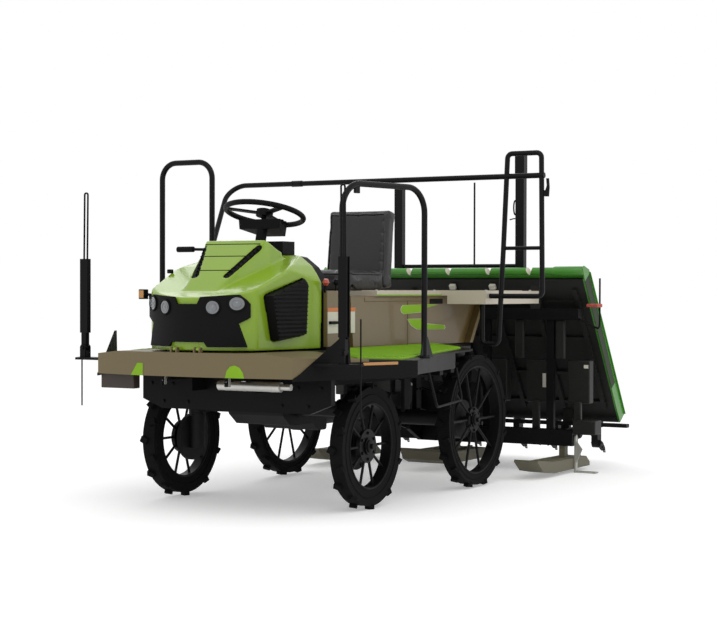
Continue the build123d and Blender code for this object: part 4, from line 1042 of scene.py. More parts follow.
@dataclass
class SeatDress:
    """Cushion and back as padded forms, with piping along their seams."""

    body: str = "chassis"
    shrink: float = 0.965
    fill: float = 0.75
    voxel: float = 0.006
    pressure: float = 4.0
    cap: float = 0.012
    frames: int = 20
    shade_angle: float = 60.0
    corner: float = 0.050
    piping: float = 0.0042
    piping_out: float = 0.0040
    piping_drop: float = 0.018
    piping_ahead: float = 0.01
    back_lean: float = 0.056

    def build(self) -> None:
        """Swell both pads and sew their piping."""
        for name in ("seat_cushion", "seat_back"):
            pad = self._pad(name)
            self._piping(name, pad)

    def _pad(self, name: str) -> bpy.types.Object:
        """Swell a copy of a node's mesh from inside.

        Args:
            name: The node that it stands for.

        Returns:
            The padded piece.
        """
        source = frame["nodes"][name]
        mesh = source.data.copy()
        pad = bpy.data.objects.new(f"{name}_pad", mesh)
        pad.matrix_world = source.matrix_world.copy()
        bpy.context.scene.collection.objects.link(pad)
        middle = sum((v.co for v in mesh.vertices), Vector()) / len(mesh.vertices)
        for vertex in mesh.vertices:
            vertex.co = middle + (vertex.co - middle) * self.shrink
        remesh = pad.modifiers.new("even", "REMESH")
        remesh.mode = "VOXEL"
        remesh.voxel_size = self.voxel
        applied(pad)
        self._swell(pad)
        pad.data.materials.clear()
        pad.data.materials.append(FINISHES["seat_vinyl"].material())
        smooth(pad, self.shade_angle)
        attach(pad, self.body)
        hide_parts(name)
        log.info("piece %s: %d faces", pad.name, len(pad.data.polygons))
        return pad

    def _swell(self, pad: bpy.types.Object) -> None:
        """Blow the pad up with cloth and keep each point within the cap.

        Args:
            pad: The piece, which gets the swollen mesh.
        """
        start = [v.co.copy() for v in pad.data.vertices]
        cloth = pad.modifiers.new("swell", "CLOTH")
        cloth.settings.use_pressure = True
        cloth.settings.uniform_pressure_force = self.pressure
        cloth.settings.effector_weights.gravity = 0.0
        scene = bpy.context.scene
        for step in range(1, self.frames + 1):
            scene.frame_set(step)
        applied(pad)
        for vertex, old in zip(pad.data.vertices, start):
            move = vertex.co - old
            if move.length > self.cap:
                vertex.co = old + move.normalized() * self.cap
        scene.frame_set(1)

    def _piping(self, name: str, pad: bpy.types.Object) -> None:
        """Lay piping on the pad along the edge of its top or front panel.

        Args:
            name: The node's name.
            pad: The padded piece.
        """
        corners = [Vector(c) for c in pad.bound_box]
        low = Vector([min(c[i] for c in corners) for i in range(3)])
        high = Vector([max(c[i] for c in corners) for i in range(3)])
        flat = name == "seat_cushion"
        ends = (low.y, high.y) if flat else (low.z, high.z)
        path = []
        for across, other in rounded(low.x, high.x, *ends, self.corner):
            front = low.y - self.piping_ahead + (other - low.z) * self.back_lean
            on_top, on_front = (across, other, high.z - self.piping_drop), (across, front, other)
            seed = on_top if flat else on_front
            hit, near, normal, _ = pad.closest_point_on_mesh(Vector(seed))
            path.append(near + normal * self.piping_out if hit else Vector(seed))
        piece = Piece(f"{name}_piping", "seat_vinyl", self.body)
        line = [(p[0], p[1] - FRONT_AXLE_Y, p[2]) for p in path]
        piece.tube(line, self.piping, WIRE_SIDES, closed=True)
        piece.done()


def rounded(x0: float, x1: float, y0: float, y1: float, radius: float) -> list[Flat]:
    """Points round a rectangle with round corners.

    Args:
        x0: Its least first coordinate.
        x1: Its greatest first coordinate.
        y0: Its least second coordinate.
        y1: Its greatest second coordinate.
        radius: The corners' radius.

    Returns:
        Points in order, a little more than ROUNDED_STEP apart on the straight sides.
    """
    points = []
    corners = (
        (x1 - radius, y1 - radius, 0),
        (x0 + radius, y1 - radius, 90),
        (x0 + radius, y0 + radius, 180),
        (x1 - radius, y0 + radius, 270),
    )
    for i, (cx, cy, start) in enumerate(corners):
        arc = [
            (cx + radius * math.cos(a), cy + radius * math.sin(a))
            for a in (math.radians(start + 90 * k / ARC_STEPS) for k in range(ARC_STEPS + 1))
        ]
        points += arc
        nx, ny, turn = corners[(i + 1) % 4]
        a = math.radians(turn)
        end = (nx + radius * math.cos(a), ny + radius * math.sin(a))
        count = max(1, int(math.dist(arc[-1], end) / ROUNDED_STEP))
        points += [
            tuple(p + (q - p) * k / count for p, q in zip(arc[-1], end)) for k in range(1, count)
        ]
    return points


@dataclass
class ConsoleDress:
    """Instruments, levers, pedals and the steering wheel's cap."""

    body: str = "chassis"
    wheel_centre: Point = (0.0, -0.070, 1.580)
    tilt: float = 15.0
    bezel: Point = (0.0, 0.035, -0.043)
    bezel_size: Point = (0.200, 0.110, 0.012)
    bezel_bevel: float = 0.004
    screen: Point = (0.0, 0.035, -0.0365)
    screen_size: Point = (0.150, 0.070, 0.002)
    screen_bevel: float = 0.001
    switch_half: float = 0.118
    switch_rows: tuple[float, ...] = (0.0, 0.03, 0.06)
    switch_size: Point = (0.020, 0.018, 0.012)
    cap_rise: float = 0.018
    cap: tuple[Flat, ...] = ((0.036, -0.002), (0.036, 0.004), (0.020, 0.009), (0.004, 0.010))
    right_lever: tuple[Point, ...] = (
        (-0.285, -0.10, 1.352), (-0.330, -0.10, 1.386), (-0.470, -0.10, 1.389),
    )
    right_grip: tuple[Point, ...] = ((-0.450, -0.10, 1.389), (-0.560, -0.10, 1.389))
    lever_radius: float = 0.008
    lever_bevel: float = 0.003
    grip_radius: float = 0.016
    slot_lever: Point = (0.441, -0.075, 0.990)
    slot_lever_size: Point = (0.016, 0.075, 0.016)
    rods: tuple[float, ...] = (-0.13, -0.02)
    rod: tuple[Flat, ...] = ((0.418, 1.150), (0.430, 1.195))
    rod_lean: float = 0.01
    rod_radius: float = 0.005
    knob: tuple[Flat, ...] = ((0.010, -0.012), (0.019, 0.004), (0.012, 0.022))
    knob_lean: Point = (0.1, -0.1, 1)
    black_knob: Point = (0.432, -0.030, 1.200)
    red_knob: Point = (0.432, -0.140, 1.200)
    panel: Point = (0.4185, -0.012, 1.010)
    panel_size: Point = (0.026, 0.224, 0.300)
    panel_bevel: float = 0.004
    plate_bevel: float = 0.001
    plates: tuple[tuple[Point, Point], ...] = (
        ((0.4325, -0.018, 0.990), (0.003, 0.206, 0.116)),
        ((0.4505, 0.114, 0.990), (0.003, 0.044, 0.116)),
    )
    bands: tuple[tuple[Point, Point], ...] = (
        ((0.4327, -0.016, 1.059), (0.003, 0.212, 0.020)),
        ((0.4507, 0.116, 1.059), (0.003, 0.048, 0.020)),
    )
    pedals: tuple[float, ...] = (-0.26, 0.20)
    pedal_arm: tuple[Flat, ...] = ((-0.055, 1.020), (0.030, 0.955))
    pedal: Flat = (0.034, 0.950)
    pedal_size: Point = (0.085, 0.012, 0.065)
    pedal_tilt: float = 38.0
    pedal_bevel: float = 0.002
    pedal_rib: Flat = (0.040, 0.957)
    pedal_rib_step: Flat = (0.014, 0.011)
    pedal_rib_size: Point = (0.078, 0.005, 0.005)

    def build(self) -> None:
        """Make every small control."""
        self._instruments()
        self._wheel_cap()
        self._levers()
        self._pedals()

    def _at(self, x: float, y: float, z: float) -> Point:
        """Point in the steering wheel's own frame."""
        turn = Matrix.Rotation(-math.radians(self.tilt), 3, "X")
        return tuple(Vector(self.wheel_centre) + turn @ Vector((x, y, z)))

    def _instruments(self) -> None:
        """Put a screen, its frame and switches on the column's top."""
        turn = Matrix.Rotation(-math.radians(self.tilt), 3, "X")
        bezel = Piece("instrument_frame", "black_plastic", self.body, self.bezel_bevel)
        bezel.box(self._at(*self.bezel), self.bezel_size, turn)
        for x in (-self.switch_half, self.switch_half):
            for y in self.switch_rows:
                bezel.box(self._at(x, y, self.bezel[2]), self.switch_size, turn)
        bezel.done()
        screen = Piece("instrument_screen", "lamp_glass", self.body, self.screen_bevel)
        screen.box(self._at(*self.screen), self.screen_size, turn).done()

    def _wheel_cap(self) -> None:
        """Cap the steering wheel's hub."""
        piece = Piece("wheel_cap", "black_plastic", "steering_wheel")
        axis = tuple(Vector(self._at(0, 0, 1)) - Vector(self.wheel_centre))
        piece.lathe(self._at(0, 0, self.cap_rise), axis, self.cap).done()

    def _levers(self) -> None:
        """Put the lever on the right, and the panel with its levers on the left."""
        black = Piece("lever_parts", "black_plastic", self.body, self.lever_bevel)
        black.tube(self.right_lever, self.lever_radius)
        black.tube(self.right_grip, self.grip_radius, SMALL_ROUND)
        black.box(self.slot_lever, self.slot_lever_size)
        for back in self.rods:
            (x, low), (end_x, high) = self.rod
            black.tube(((x, back, low), (end_x, back - self.rod_lean, high)), self.rod_radius)
        black.lathe(self.black_knob, self.knob_lean, self.knob, SMALL_ROUND)
        black.done()
        panel = Piece("lever_panel", "side_bronze", self.body, self.panel_bevel)
        panel.box(self.panel, self.panel_size).done()
        for name, slot, parts in (
            ("lever_plate", "cream_plate", self.plates),
            ("lever_band", "orange_band", self.bands),
        ):
            piece = Piece(name, slot, self.body, self.plate_bevel)
            for centre, size in parts:
                piece.box(centre, size)
            piece.done()
        knob = Piece("lever_knob", "lever_red", self.body)
        knob.lathe(self.red_knob, self.knob_lean, self.knob, SMALL_ROUND).done()

    def _pedals(self) -> None:
        """Hang the brake pedal and a rest for the left foot in the footwell."""
        piece = Piece("pedals", "black_plastic", self.body, self.pedal_bevel)
        turn = Matrix.Rotation(math.radians(self.pedal_tilt), 3, "X")
        back, up = self.pedal_rib
        step_back, step_up = self.pedal_rib_step
        for x in self.pedals:
            piece.tube([(x, *end) for end in self.pedal_arm], self.lever_radius)
            piece.box((x, *self.pedal), self.pedal_size, turn)
            for k in (-1, 0, 1):
                place = (x, back + step_back * k, up + step_up * k)
                piece.box(place, self.pedal_rib_size, turn)
        piece.done()


@dataclass(frozen=True)
class Axle:
    """Measures that the two wheels of an axle share."""

    end: str
    back: float
    height: float
    track: float
    tread: float
    wall: float
    hub: float


@dataclass
class WheelDress:
    """Hub bolts, caps, rim beads and side ribs of the four wheels."""

    axles: tuple[Axle, ...] = (
        Axle("front", 0.0, 0.335, 0.600, 0.317, 0.086, 0.090),
        Axle("rear", 1.185, 0.400, 0.650, 0.382, 0.062, 0.075),
    )
    hub_bolts: int = 6
    hub_bolt: float = 0.008
    hub_bolt_turn: float = 30.0
    hub_bolt_out: float = 0.002
    hub_face: float = 0.011
    boss_radius: float = 0.045
    boss_face: float = 0.022
    cap: tuple[Flat, ...] = ((0.034, -0.001), (0.034, 0.006), (0.026, 0.010), (0.016, 0.011))
    nut: tuple[Flat, ...] = ((0.015, 0.010), (0.015, 0.022), (0.012, 0.024))
    bead_half: float = 0.0285
    bead_drop: float = 0.006
    bead_wire: float = 0.0055
    rib_half: float = 0.0338
    rib_wire: float = 0.004

    def build(self) -> None:
        """Dress every wheel."""
        for axle in self.axles:
            for side in Side:
                name = f"{axle.end}_wheel_{side.name.lower()}"
                centre = (side.value * axle.track, axle.back, axle.height)
                self._hub(name, centre, side, axle.hub)
                self._rims(name, centre, axle)

    def _hub(self, name: str, centre: Point, side: Side, hub: float) -> None:
        """Put bolts, a nut and a cap on a hub.

        Args:
            name: The wheel's body.
            centre: The wheel's middle.
            side: Which side of the machine it is on.
            hub: The hub disc's radius.
        """
        piece = Piece(f"{name}_bolts", "wheel_black", name)
        axis = (side.value, 0, 0)
        ring = (hub + self.boss_radius) / 2 + self.hub_bolt_out
        for k in range(self.hub_bolts):
            a = math.radians(360 / self.hub_bolts * k + self.hub_bolt_turn)
            place = (
                centre[0] + side.value * self.hub_face,
                centre[1] + ring * math.cos(a),
                centre[2] + ring * math.sin(a),
            )
            piece.bolt(place, axis, self.hub_bolt, self.hub_bolt)
        outer = (centre[0] + side.value * self.boss_face, centre[1], centre[2])
        piece.lathe(outer, axis, self.cap, MIDDLE_ROUND)
        piece.lathe(outer, axis, self.nut, HEXAGON)
        piece.done()

    def _rims(self, name: str, centre: Point, axle: Axle) -> None:
        """Run a bead along both edges of the rim and a rib along both sides of the tyre.

        Args:
            name: The wheel's body.
            centre: The wheel's middle.
            axle: The measures of its axle.
        """
        beads = Piece(f"{name}_beads", "wheel_black", name)
        ribs = Piece(f"{name}_tyre_ribs", "tyre_rubber", name)
        bead_radius = axle.tread - axle.wall - self.bead_drop
        for side in Side:
            place = (centre[0] + side.value * self.bead_half, centre[1], centre[2])
            beads.ring(place, (1, 0, 0), bead_radius, self.bead_wire, RIM_ROUND)
            place = (centre[0] + side.value * self.rib_half, centre[1], centre[2])
            ribs.ring(place, (1, 0, 0), axle.tread - axle.wall / 2, self.rib_wire, RIM_ROUND)
        beads.done()
        ribs.done()


@dataclass
class UnderDress:
    """Bolts, flanges and tow plates under the machine."""

    body: str = "chassis"
    member_back: float = -0.365
    upper_bolts: tuple[float, ...] = (-0.54, -0.40, -0.26, -0.10, 0.10, 0.26, 0.40, 0.54)
    upper_bolt_height: float = 0.655
    lower_bolts: tuple[float, ...] = (-0.46, -0.30, 0.30, 0.46)
    lower_bolt_height: float = 0.560
    floor_bolt_stations: tuple[float, ...] = (0.56, 0.86)
    floor_bolt_halves: tuple[float, ...] = (0.31, 0.55)
    floor_bolt_height: float = 0.692
    link_bolt_stations: tuple[float, ...] = (1.31, 1.35)
    link_bolt_half: float = 0.215
    link_bolt_height: float = 0.560
    link_bolt: float = 0.008
    tow_plates: tuple[float, ...] = (0.193, 0.207)
    tow_plate_place: Flat = (-0.712, 0.697)
    tow_plate_size: Point = (0.002, 0.022, 0.046)
    tow_plate_bevel: float = 0.001
    muffler_bands: tuple[float, ...] = (0.09, 0.20, 0.37)
    muffler_place: Flat = (-0.560, 0.669)
    muffler_band: tuple[Flat, ...] = ((0.0268, -0.008), (0.0268, 0.008))
    front_flanges: tuple[float, ...] = (0.20, 0.44)
    front_flange_place: Flat = (0.0, 0.525)
    front_flange: tuple[Flat, ...] = ((0.054, -0.007), (0.054, 0.007))
    rear_flanges: tuple[float, ...] = (0.14, 0.50)
    rear_flange_place: Flat = (1.185, 0.400)
    rear_flange: tuple[Flat, ...] = ((0.058, -0.008), (0.058, 0.008))
    case_face: float = 0.544
    case_height: float = 0.335
    case_bolt_ring: float = 0.112
    case_bolts: int = 8
    case_bolt_turn: float = 20.0
    case_bolt: Flat = (0.007, 0.006)
    case_cap: tuple[Flat, ...] = ((0.050, -0.001), (0.040, 0.010))

    def build(self) -> None:
        """Make every fitting under the floor."""
        self._bolts()
        self._axles()
        self._cases()
        self._tow_plates()
        self._muffler_bands()

    def _bolts(self) -> None:
        """Bolt the front member, the floor's carriers and the link brackets."""
        piece = Piece("frame_bolts", "frame_black", self.body)
        for x in self.upper_bolts:
            piece.bolt((x, self.member_back, self.upper_bolt_height), (0, -1, 0))
        for x in self.lower_bolts:
            piece.bolt((x, self.member_back, self.lower_bolt_height), (0, -1, 0))
        for side in Side:
            for back in self.floor_bolt_stations:
                for x in self.floor_bolt_halves:
                    piece.bolt((side.value * x, back, self.floor_bolt_height), (0, 0, -1))
            for back in self.link_bolt_stations:
                place = (side.value * self.link_bolt_half, back, self.link_bolt_height)
                piece.bolt(place, (side.value, 0, 0), self.link_bolt)
        piece.done()

    def _axles(self) -> None:
        """Put flanges on both axles."""
        piece = Piece("axle_flanges", "cast_grey", self.body)
        for side in Side:
            for x in self.front_flanges:
                place = (side.value * x, *self.front_flange_place)
                piece.lathe(place, (1, 0, 0), self.front_flange, LARGE_ROUND)
            for x in self.rear_flanges:
                place = (side.value * x, *self.rear_flange_place)
                piece.lathe(place, (1, 0, 0), self.rear_flange, LARGE_ROUND)
        piece.done()

    def _cases(self) -> None:
        """Bolt the covers of the front wheel cases."""
        for side in Side:
            name = f"knuckle_{side.name.lower()}"
            piece = Piece(f"{name}_bolts", "cast_grey", name)
            axis = (side.value, 0, 0)
            for k in range(self.case_bolts):
                a = math.radians(360 / self.case_bolts * k + self.case_bolt_turn)
                place = (
                    side.value * self.case_face,
                    self.case_bolt_ring * math.cos(a),
                    self.case_height + self.case_bolt_ring * math.sin(a),
                )
                piece.bolt(place, axis, *self.case_bolt)
            middle = (side.value * self.case_face, 0, self.case_height)
            piece.lathe(middle, axis, self.case_cap, LARGE_ROUND)
            piece.done()

    def _tow_plates(self) -> None:
        """Hang two pale plates at each tow point."""
        piece = Piece("tow_plates", "stand_grey", self.body, self.tow_plate_bevel)
        for side in Side:
            for x in self.tow_plates:
                piece.box((side.value * x, *self.tow_plate_place), self.tow_plate_size)
        piece.done()

    def _muffler_bands(self) -> None:
        """Clamp bands round the muffler."""
        piece = Piece("muffler_bands", "silver_steel", self.body)
        for x in self.muffler_bands:
            piece.lathe((x, *self.muffler_place), (1, 0, 0), self.muffler_band, LARGE_ROUND)
        piece.done()


@dataclass
class TrayDress:
    """Ridges, notch linings, roll covers, painted shade on the walls and small fittings of the seedling
    tray.
    """

    body: str = "tray"
    origin: Point = (0.0, 2.172, 1.290)
    down: Point = (0.0, 0.55470, -0.83205)
    length: float = 1.18983
    pitch: float = 0.290
    half_width: float = 0.950
    lanes: int = 6
    ridges: int = 7
    ridge_pitch: float = 0.034
    ridge_middle: float = 0.610
    ridge_width: float = 0.006
    ridge_height: float = 0.0035
    ridge_out: float = 0.0012
    ridge_margin: float = 0.060
    back_ribs: tuple[float, ...] = (0.22, 0.50, 0.78, 1.02)
    back_rib_out: float = -0.034
    back_rib_size: Point = (1.780, 0.022, 0.018)
    roll_radius: float = 0.024
    roll_out: float = -0.006
    notch_half: float = 0.022
    lining: float = 0.0012
    lining_gap: float = 0.0003
    lining_over: float = 0.0002
    rim_middle: float = 0.620
    rim_out: float = 0.0645
    rim_width: float = 0.024
    rim_height: float = 0.005
    rim_margin: float = 0.055
    rim_inset: float = 0.001
    rim_bevel: float = 0.0015
    roll_end_length: float = 0.070
    roll_end: tuple[Flat, ...] = ((0.0258, 0.0), (0.0258, 0.062), (0.018, 0.070))
    roll_cover_start: float = 0.742
    roll_cover: tuple[Flat, ...] = (
        (0.0262, 0.0), (0.0300, 0.014), (0.0300, 0.200), (0.0240, 0.210),
    )
    small_bevel: float = 0.002
    corner_half: float = 0.947
    corner_width: float = 0.008
    corner: tuple[Flat, ...] = (
        (-0.028, -0.022), (-0.030, 0.010), (0.034, 0.066), (0.060, 0.066), (0.060, -0.034),
    )
    guides: tuple[float, ...] = (-0.565, 0.015, 0.305)
    guide_place: Flat = (0.094, -0.046)
    guide_size: Point = (0.042, 0.034, 0.022)
    # Thickness, offset, bevel and outline of the dark sheet of painted shade on each wall.
    wall_shade_thickness: float = 0.003
    wall_shade_out: float = 0.0005
    wall_shade_bevel: float = 0.001
    cover: tuple[Flat, ...] = ((0.030, -0.030), (0.030, 0.052), (0.905, 0.036), (0.905, -0.030))
    post_half: float = 0.450
    post_back: float = 2.310
    post_front: float = 2.287
    post_bolts: tuple[float, ...] = (1.12, 1.20)
    post_bolt: float = 0.007
    post_cap_height: float = 1.986
    post_cap_size: Point = (0.066, 0.052, 0.116)
    handle: Point = (0.409, 2.310, 1.705)
    handle_half: Flat = (0.011, 0.046)
    handle_wire: float = 0.005
    hook: tuple[Point, ...] = (
        (0.425, 2.310, 1.634), (0.400, 2.305, 1.633), (0.374, 2.300, 1.626),
    )
    hook_wire: float = 0.004

    def build(self) -> None:
        """Make every piece of the tray."""
        self._ridges()
        self._notches()
        self._edges()
        self._corners()
        self._covers()
        self._posts()

    def _at(self, x: float, along: float, out: float) -> Point:
        """Point on the tray.

        Args:
            x: Its place across.
            along: How far down the tray's slope it lies.
            out: How far out of the tray's face it lies.

        Returns:
            The point.
        """
        down = Vector(self.down)
        normal = Vector((0, -down.z, down.y))
        return tuple(Vector(self.origin) + Vector((x, 0, 0)) + down * along + normal * out)

    def _turn(self) -> Matrix:
        """Rotation from level axes to the tray's own."""
        down = Vector(self.down)
        return Matrix((Vector((1, 0, 0)), down, Vector((0, -down.z, down.y)))).transposed()

    def _ridges(self) -> None:
        """Run fine ridges down each lane and ribs across the back."""
        piece = Piece("lane_ridges", "tray_green", self.body)
        size = (self.ridge_width, self.length - 2 * self.ridge_margin, self.ridge_height)
        for lane in range(self.lanes):
            middle = (lane - (self.lanes - 1) / 2) * self.pitch
            for k in range(self.ridges):
                x = middle + (k - (self.ridges - 1) / 2) * self.ridge_pitch
                piece.box(self._at(x, self.ridge_middle, self.ridge_out), size, self._turn())
        piece.done()
        cross = Piece("tray_back_ribs", "tray_black", self.body)
        for along in self.back_ribs:
            cross.box(self._at(0, along, self.back_rib_out), self.back_rib_size, self._turn())
        cross.done()

    def _notches(self) -> None:
        """Line both faces of each notch in the roll with a thin pale disc."""
        piece = Piece("notch_linings", "cream_plate", self.body)
        radius = self.roll_radius - self.lining_gap
        for row in range(-2, 3):
            for side in (-1, 1):
                outline = []
                for turn in turns(SMALL_ROUND):
                    along = radius * math.cos(turn)
                    out = self.roll_out + radius * math.sin(turn)
                    x = self.notch_half * (self.roll_radius - along) / (2 * self.roll_radius)
                    place = row * self.pitch + side * (x - self.lining)
                    outline.append(self._at(place, along, out))
                piece.prism(outline, (side * (self.lining + self.lining_over), 0, 0))
        piece.done()

    def _edges(self) -> None:
        """Turn the walls' tops out and cap the ends of the roll."""
        piece = Piece("tray_rims", "tray_green", self.body, self.rim_bevel)
        size = (self.rim_width, self.length - self.rim_margin, self.rim_height)
        for side in Side:
            x = side.value * (self.half_width - self.rim_inset)
            piece.box(self._at(x, self.rim_middle, self.rim_out), size, self._turn())
            start = side.value * (self.half_width - self.roll_end_length)
            centre = self._at(start, 0, self.roll_out)
            piece.lathe(centre, (side.value, 0, 0), self.roll_end, MIDDLE_ROUND)
        piece.done()

    def _corners(self) -> None:
        """Cover both ends of the roll and set the pale guides under it."""
        cover = Piece("roll_covers", "tray_green", self.body, self.small_bevel)
        for side in Side:
            start = self._at(side.value * self.roll_cover_start, 0, self.roll_out)
            cover.lathe(start, (side.value, 0, 0), self.roll_cover, LARGE_ROUND)
            x = side.value * self.corner_half
            outline = [self._at(x, a, n) for a, n in self.corner]
            cover.prism(outline, (side.value * self.corner_width, 0, 0))
        cover.done()
        guides = Piece("tray_guides", "cream_plate", self.body, self.small_bevel)
        for x in self.guides:
            guides.box(self._at(x, *self.guide_place), self.guide_size, self._turn())
        guides.done()

    def _covers(self) -> None:
        """Lay a dark sheet of painted shade on the outside of both walls, down to their lowest quarter.
        """
        piece = Piece("tray_wall_painted_shade", "tray_painted_shade", self.body, self.wall_shade_bevel)
        for side in Side:
            x = side.value * (self.half_width + self.wall_shade_out)
            outline = [self._at(x, a, n) for a, n in self.cover]
            piece.prism(outline, (side.value * self.wall_shade_thickness, 0, 0))
        piece.done()

    def _posts(self) -> None:
        """Cap the left post, hang its handle and hook, and bolt both posts."""
        piece = Piece("post_fittings", "rail_grey", self.body, self.small_bevel)
        piece.box((self.post_half, self.post_back, self.post_cap_height), self.post_cap_size)
        x, y, z = self.handle
        half, tall = self.handle_half
        oval = [
            (x + half * math.cos(turn), y, z + tall * math.sin(turn)) for turn in turns(LARGE_ROUND)
        ]
        piece.tube(oval, self.handle_wire, ROD_SIDES, closed=True)
        piece.tube(self.hook, self.hook_wire)
        for x in (-self.post_half, self.post_half):
            for up in self.post_bolts:
                piece.bolt((x, self.post_front, up), (0, -1, 0), self.post_bolt)
        piece.done()


@dataclass
class PlanterDress:
    """Row boxes, case bolts, claws and float fittings of the planting unit."""

    body: str = "planter"
    row_pitch: float = 0.290
    row_shift: float = -0.012
    row_box: Flat = (2.345, 0.575)
    row_box_size: Point = (0.150, 0.070, 0.275)
    row_stem: Flat = (2.300, 0.355)
    row_stem_size: Point = (0.050, 0.030, 0.190)
    ribs: tuple[float, ...] = (0.480, 0.765)
    rib: Flat = (2.236, 0.850)
    rib_size: Point = (0.060, 0.030, 0.250)
    row_bevel: float = 0.006
    end_box: Point = (0.940, 2.252, 0.292)
    end_box_size: Point = (0.155, 0.110, 0.088)
    plate_bevel: float = 0.001
    plates: tuple[tuple[Point, Point], ...] = (
        ((0.91, 2.308, 0.675), (0.030, 0.004, 0.022)),
        ((0.62, 2.308, 0.580), (0.024, 0.004, 0.090)),
    )
    rod: tuple[Point, ...] = (
        (0.880, 2.222, 0.990), (1.020, 2.160, 0.935), (1.075, 2.110, 0.925), (1.085, 2.100, 0.950),
        (1.085, 2.100, 1.240),
    )
    rod_bend: float = 0.020
    rod_radius: float = 0.006
    rod_handle: Point = (1.055, 2.085, 1.070)
    rod_handle_size: Point = (0.100, 0.045, 0.022)
    rod_handle_turn: float = -25.0
    rod_handle_bevel: float = 0.004
    rotors: tuple[float, ...] = (-0.58, 0.0, 0.58)
    axis: Flat = (2.950, 0.192)
    case_half: float = 0.028
    case_bolt: Flat = (0.007, 0.006)
    case_cap: tuple[Flat, ...] = ((0.034, -0.001), (0.034, 0.006), (0.022, 0.010))
    case_plug: tuple[Flat, ...] = ((0.013, -0.004), (0.013, 0.012), (0.008, 0.014))
    case_plug_place: Flat = (2.620, 0.231)
    case_bolts: tuple[Flat, ...] = (
        (2.40, 0.245), (2.40, 0.155), (2.56, 0.236), (2.56, 0.158), (2.80, 0.228), (2.80, 0.158),
    )
    row_half: float = 0.145
    cover_half: float = 0.023
    small_bolt: Flat = (0.0055, 0.005)
    cover: tuple[Flat, ...] = ((0.027, -0.001), (0.025, 0.008))
    cover_bolts: tuple[Flat, ...] = ((0.0, 0.084), (0.022, 0.062), (-0.022, 0.062))
    arm_out: float = 0.032
    arm_half: float = 0.009
    arm_bolts: tuple[Flat, ...] = ((0.012, 0.062), (-0.012, 0.092), (-0.038, 0.110))
    prongs: tuple[float, ...] = (-0.006, 0.006)
    prong_width: float = 0.002
    prong_bevel: float = 0.0004
    claw: tuple[Flat, ...] = (
        (-0.050, 0.118), (-0.0695, 0.133), (-0.072, 0.127), (-0.060, 0.100), (-0.052, 0.100),
    )
    push_rod: tuple[Flat, ...] = ((-0.018, 0.066), (-0.058, 0.104))
    push_rod_radius: float = 0.0035
    floats: tuple[Point, ...] = ((-0.78, 1.95, 0.0935), (0.78, 1.95, 0.0935), (0.0, 1.92, 0.1175))
    float_rib_end: float = 2.420
    float_rib_half: float = 0.045
    float_rib_width: float = 0.014
    float_rib_height: float = 0.012
    float_rib_bevel: float = 0.003

    def build(self) -> None:
        """Make every piece of the planting unit."""
        self._rows()
        self._rod()
        self._cases()
        for index, x in enumerate(self.rotors, start=1):
            self._rotor(index, x)
        self._floats()

    def _rows(self) -> None:
        """Stand the row boxes on the beam and the ribs under the upper beam."""
        piece = Piece("row_boxes", "tray_black", self.body, self.row_bevel)
        for row in range(-3, 4):
            x = row * self.row_pitch + self.row_shift
            piece.box((x, *self.row_box), self.row_box_size)
            piece.box((x, *self.row_stem), self.row_stem_size)
        x, back, up = self.end_box
        for side in Side:
            for rib in self.ribs:
                piece.box((side.value * rib, *self.rib), self.rib_size)
            piece.box((side.value * x, back, up), self.end_box_size)
        piece.done()
        plates = Piece("row_plates", "cream_plate", self.body, self.plate_bevel)
        for centre, size in self.plates:
            plates.box(centre, size)
        plates.done()

    def _rod(self) -> None:
        """Stand the thin rod with its red cross-piece at the left end of the upper beam."""
        rod = Piece("end_rod", "frame_black", self.body)
        rod.tube(bent(self.rod, self.rod_bend), self.rod_radius, ROD_SIDES).done()
        turn = Matrix.Rotation(math.radians(self.rod_handle_turn), 3, "Z")
        red = Piece("end_rod_handle", "lever_red", self.body, self.rod_handle_bevel)
        red.box(self.rod_handle, self.rod_handle_size, turn).done()

    def _cases(self) -> None:
        """Bolt the planting cases."""
        piece = Piece("case_bolts", "cast_grey", self.body)
        for x in self.rotors:
            for side in Side:
                face, axis = x + side.value * self.case_half, (side.value, 0, 0)
                for y, z in self.case_bolts:
                    piece.bolt((face, y, z), axis, *self.case_bolt)
                piece.lathe((face, *self.axis), axis, self.case_cap, MIDDLE_ROUND)
            piece.lathe((x, *self.case_plug_place), (0, 0, 1), self.case_plug, HEXAGON)
        piece.done()

    def _rotor(self, index: int, x: float) -> None:
        """Put covers, bolts and the forked claws on a rotor.

        Args:
            index: The rotor's number.
            x: Its middle across the machine.
        """
        body = f"planting_rotor_{index}"
        cast = Piece(f"rotor_{index}_covers", "cast_grey", body)
        steel = Piece(f"rotor_{index}_claws", "silver_steel", body, self.prong_bevel)
        back, up = self.axis
        for side in Side:
            row = x + side.value * self.row_half
            inner, facing = row - side.value * self.cover_half, (-side.value, 0, 0)
            arm = row + side.value * self.arm_out
            for y, z in (*self.cover_bolts, *((y, -z) for y, z in self.cover_bolts)):
                cast.bolt((inner, back + y, up + z), facing, *self.small_bolt)
            cast.lathe((inner, back, up), facing, self.cover, MIDDLE_ROUND)
            for turn in (1, -1):
                for y, z in self.arm_bolts:
                    place = (arm + side.value * self.arm_half, back + turn * y, up + turn * z)
                    cast.bolt(place, (side.value, 0, 0), *self.small_bolt)
                for prong in self.prongs:
                    start = arm + prong - self.prong_width / 2
                    outline = [(start, back + turn * y, up + turn * z) for y, z in self.claw]
                    steel.prism(outline, (self.prong_width, 0, 0))
                ends = [(arm, back + turn * y, up + turn * z) for y, z in self.push_rod]
                steel.tube(ends, self.push_rod_radius, ROD_SIDES)
        cast.done()
        steel.done()

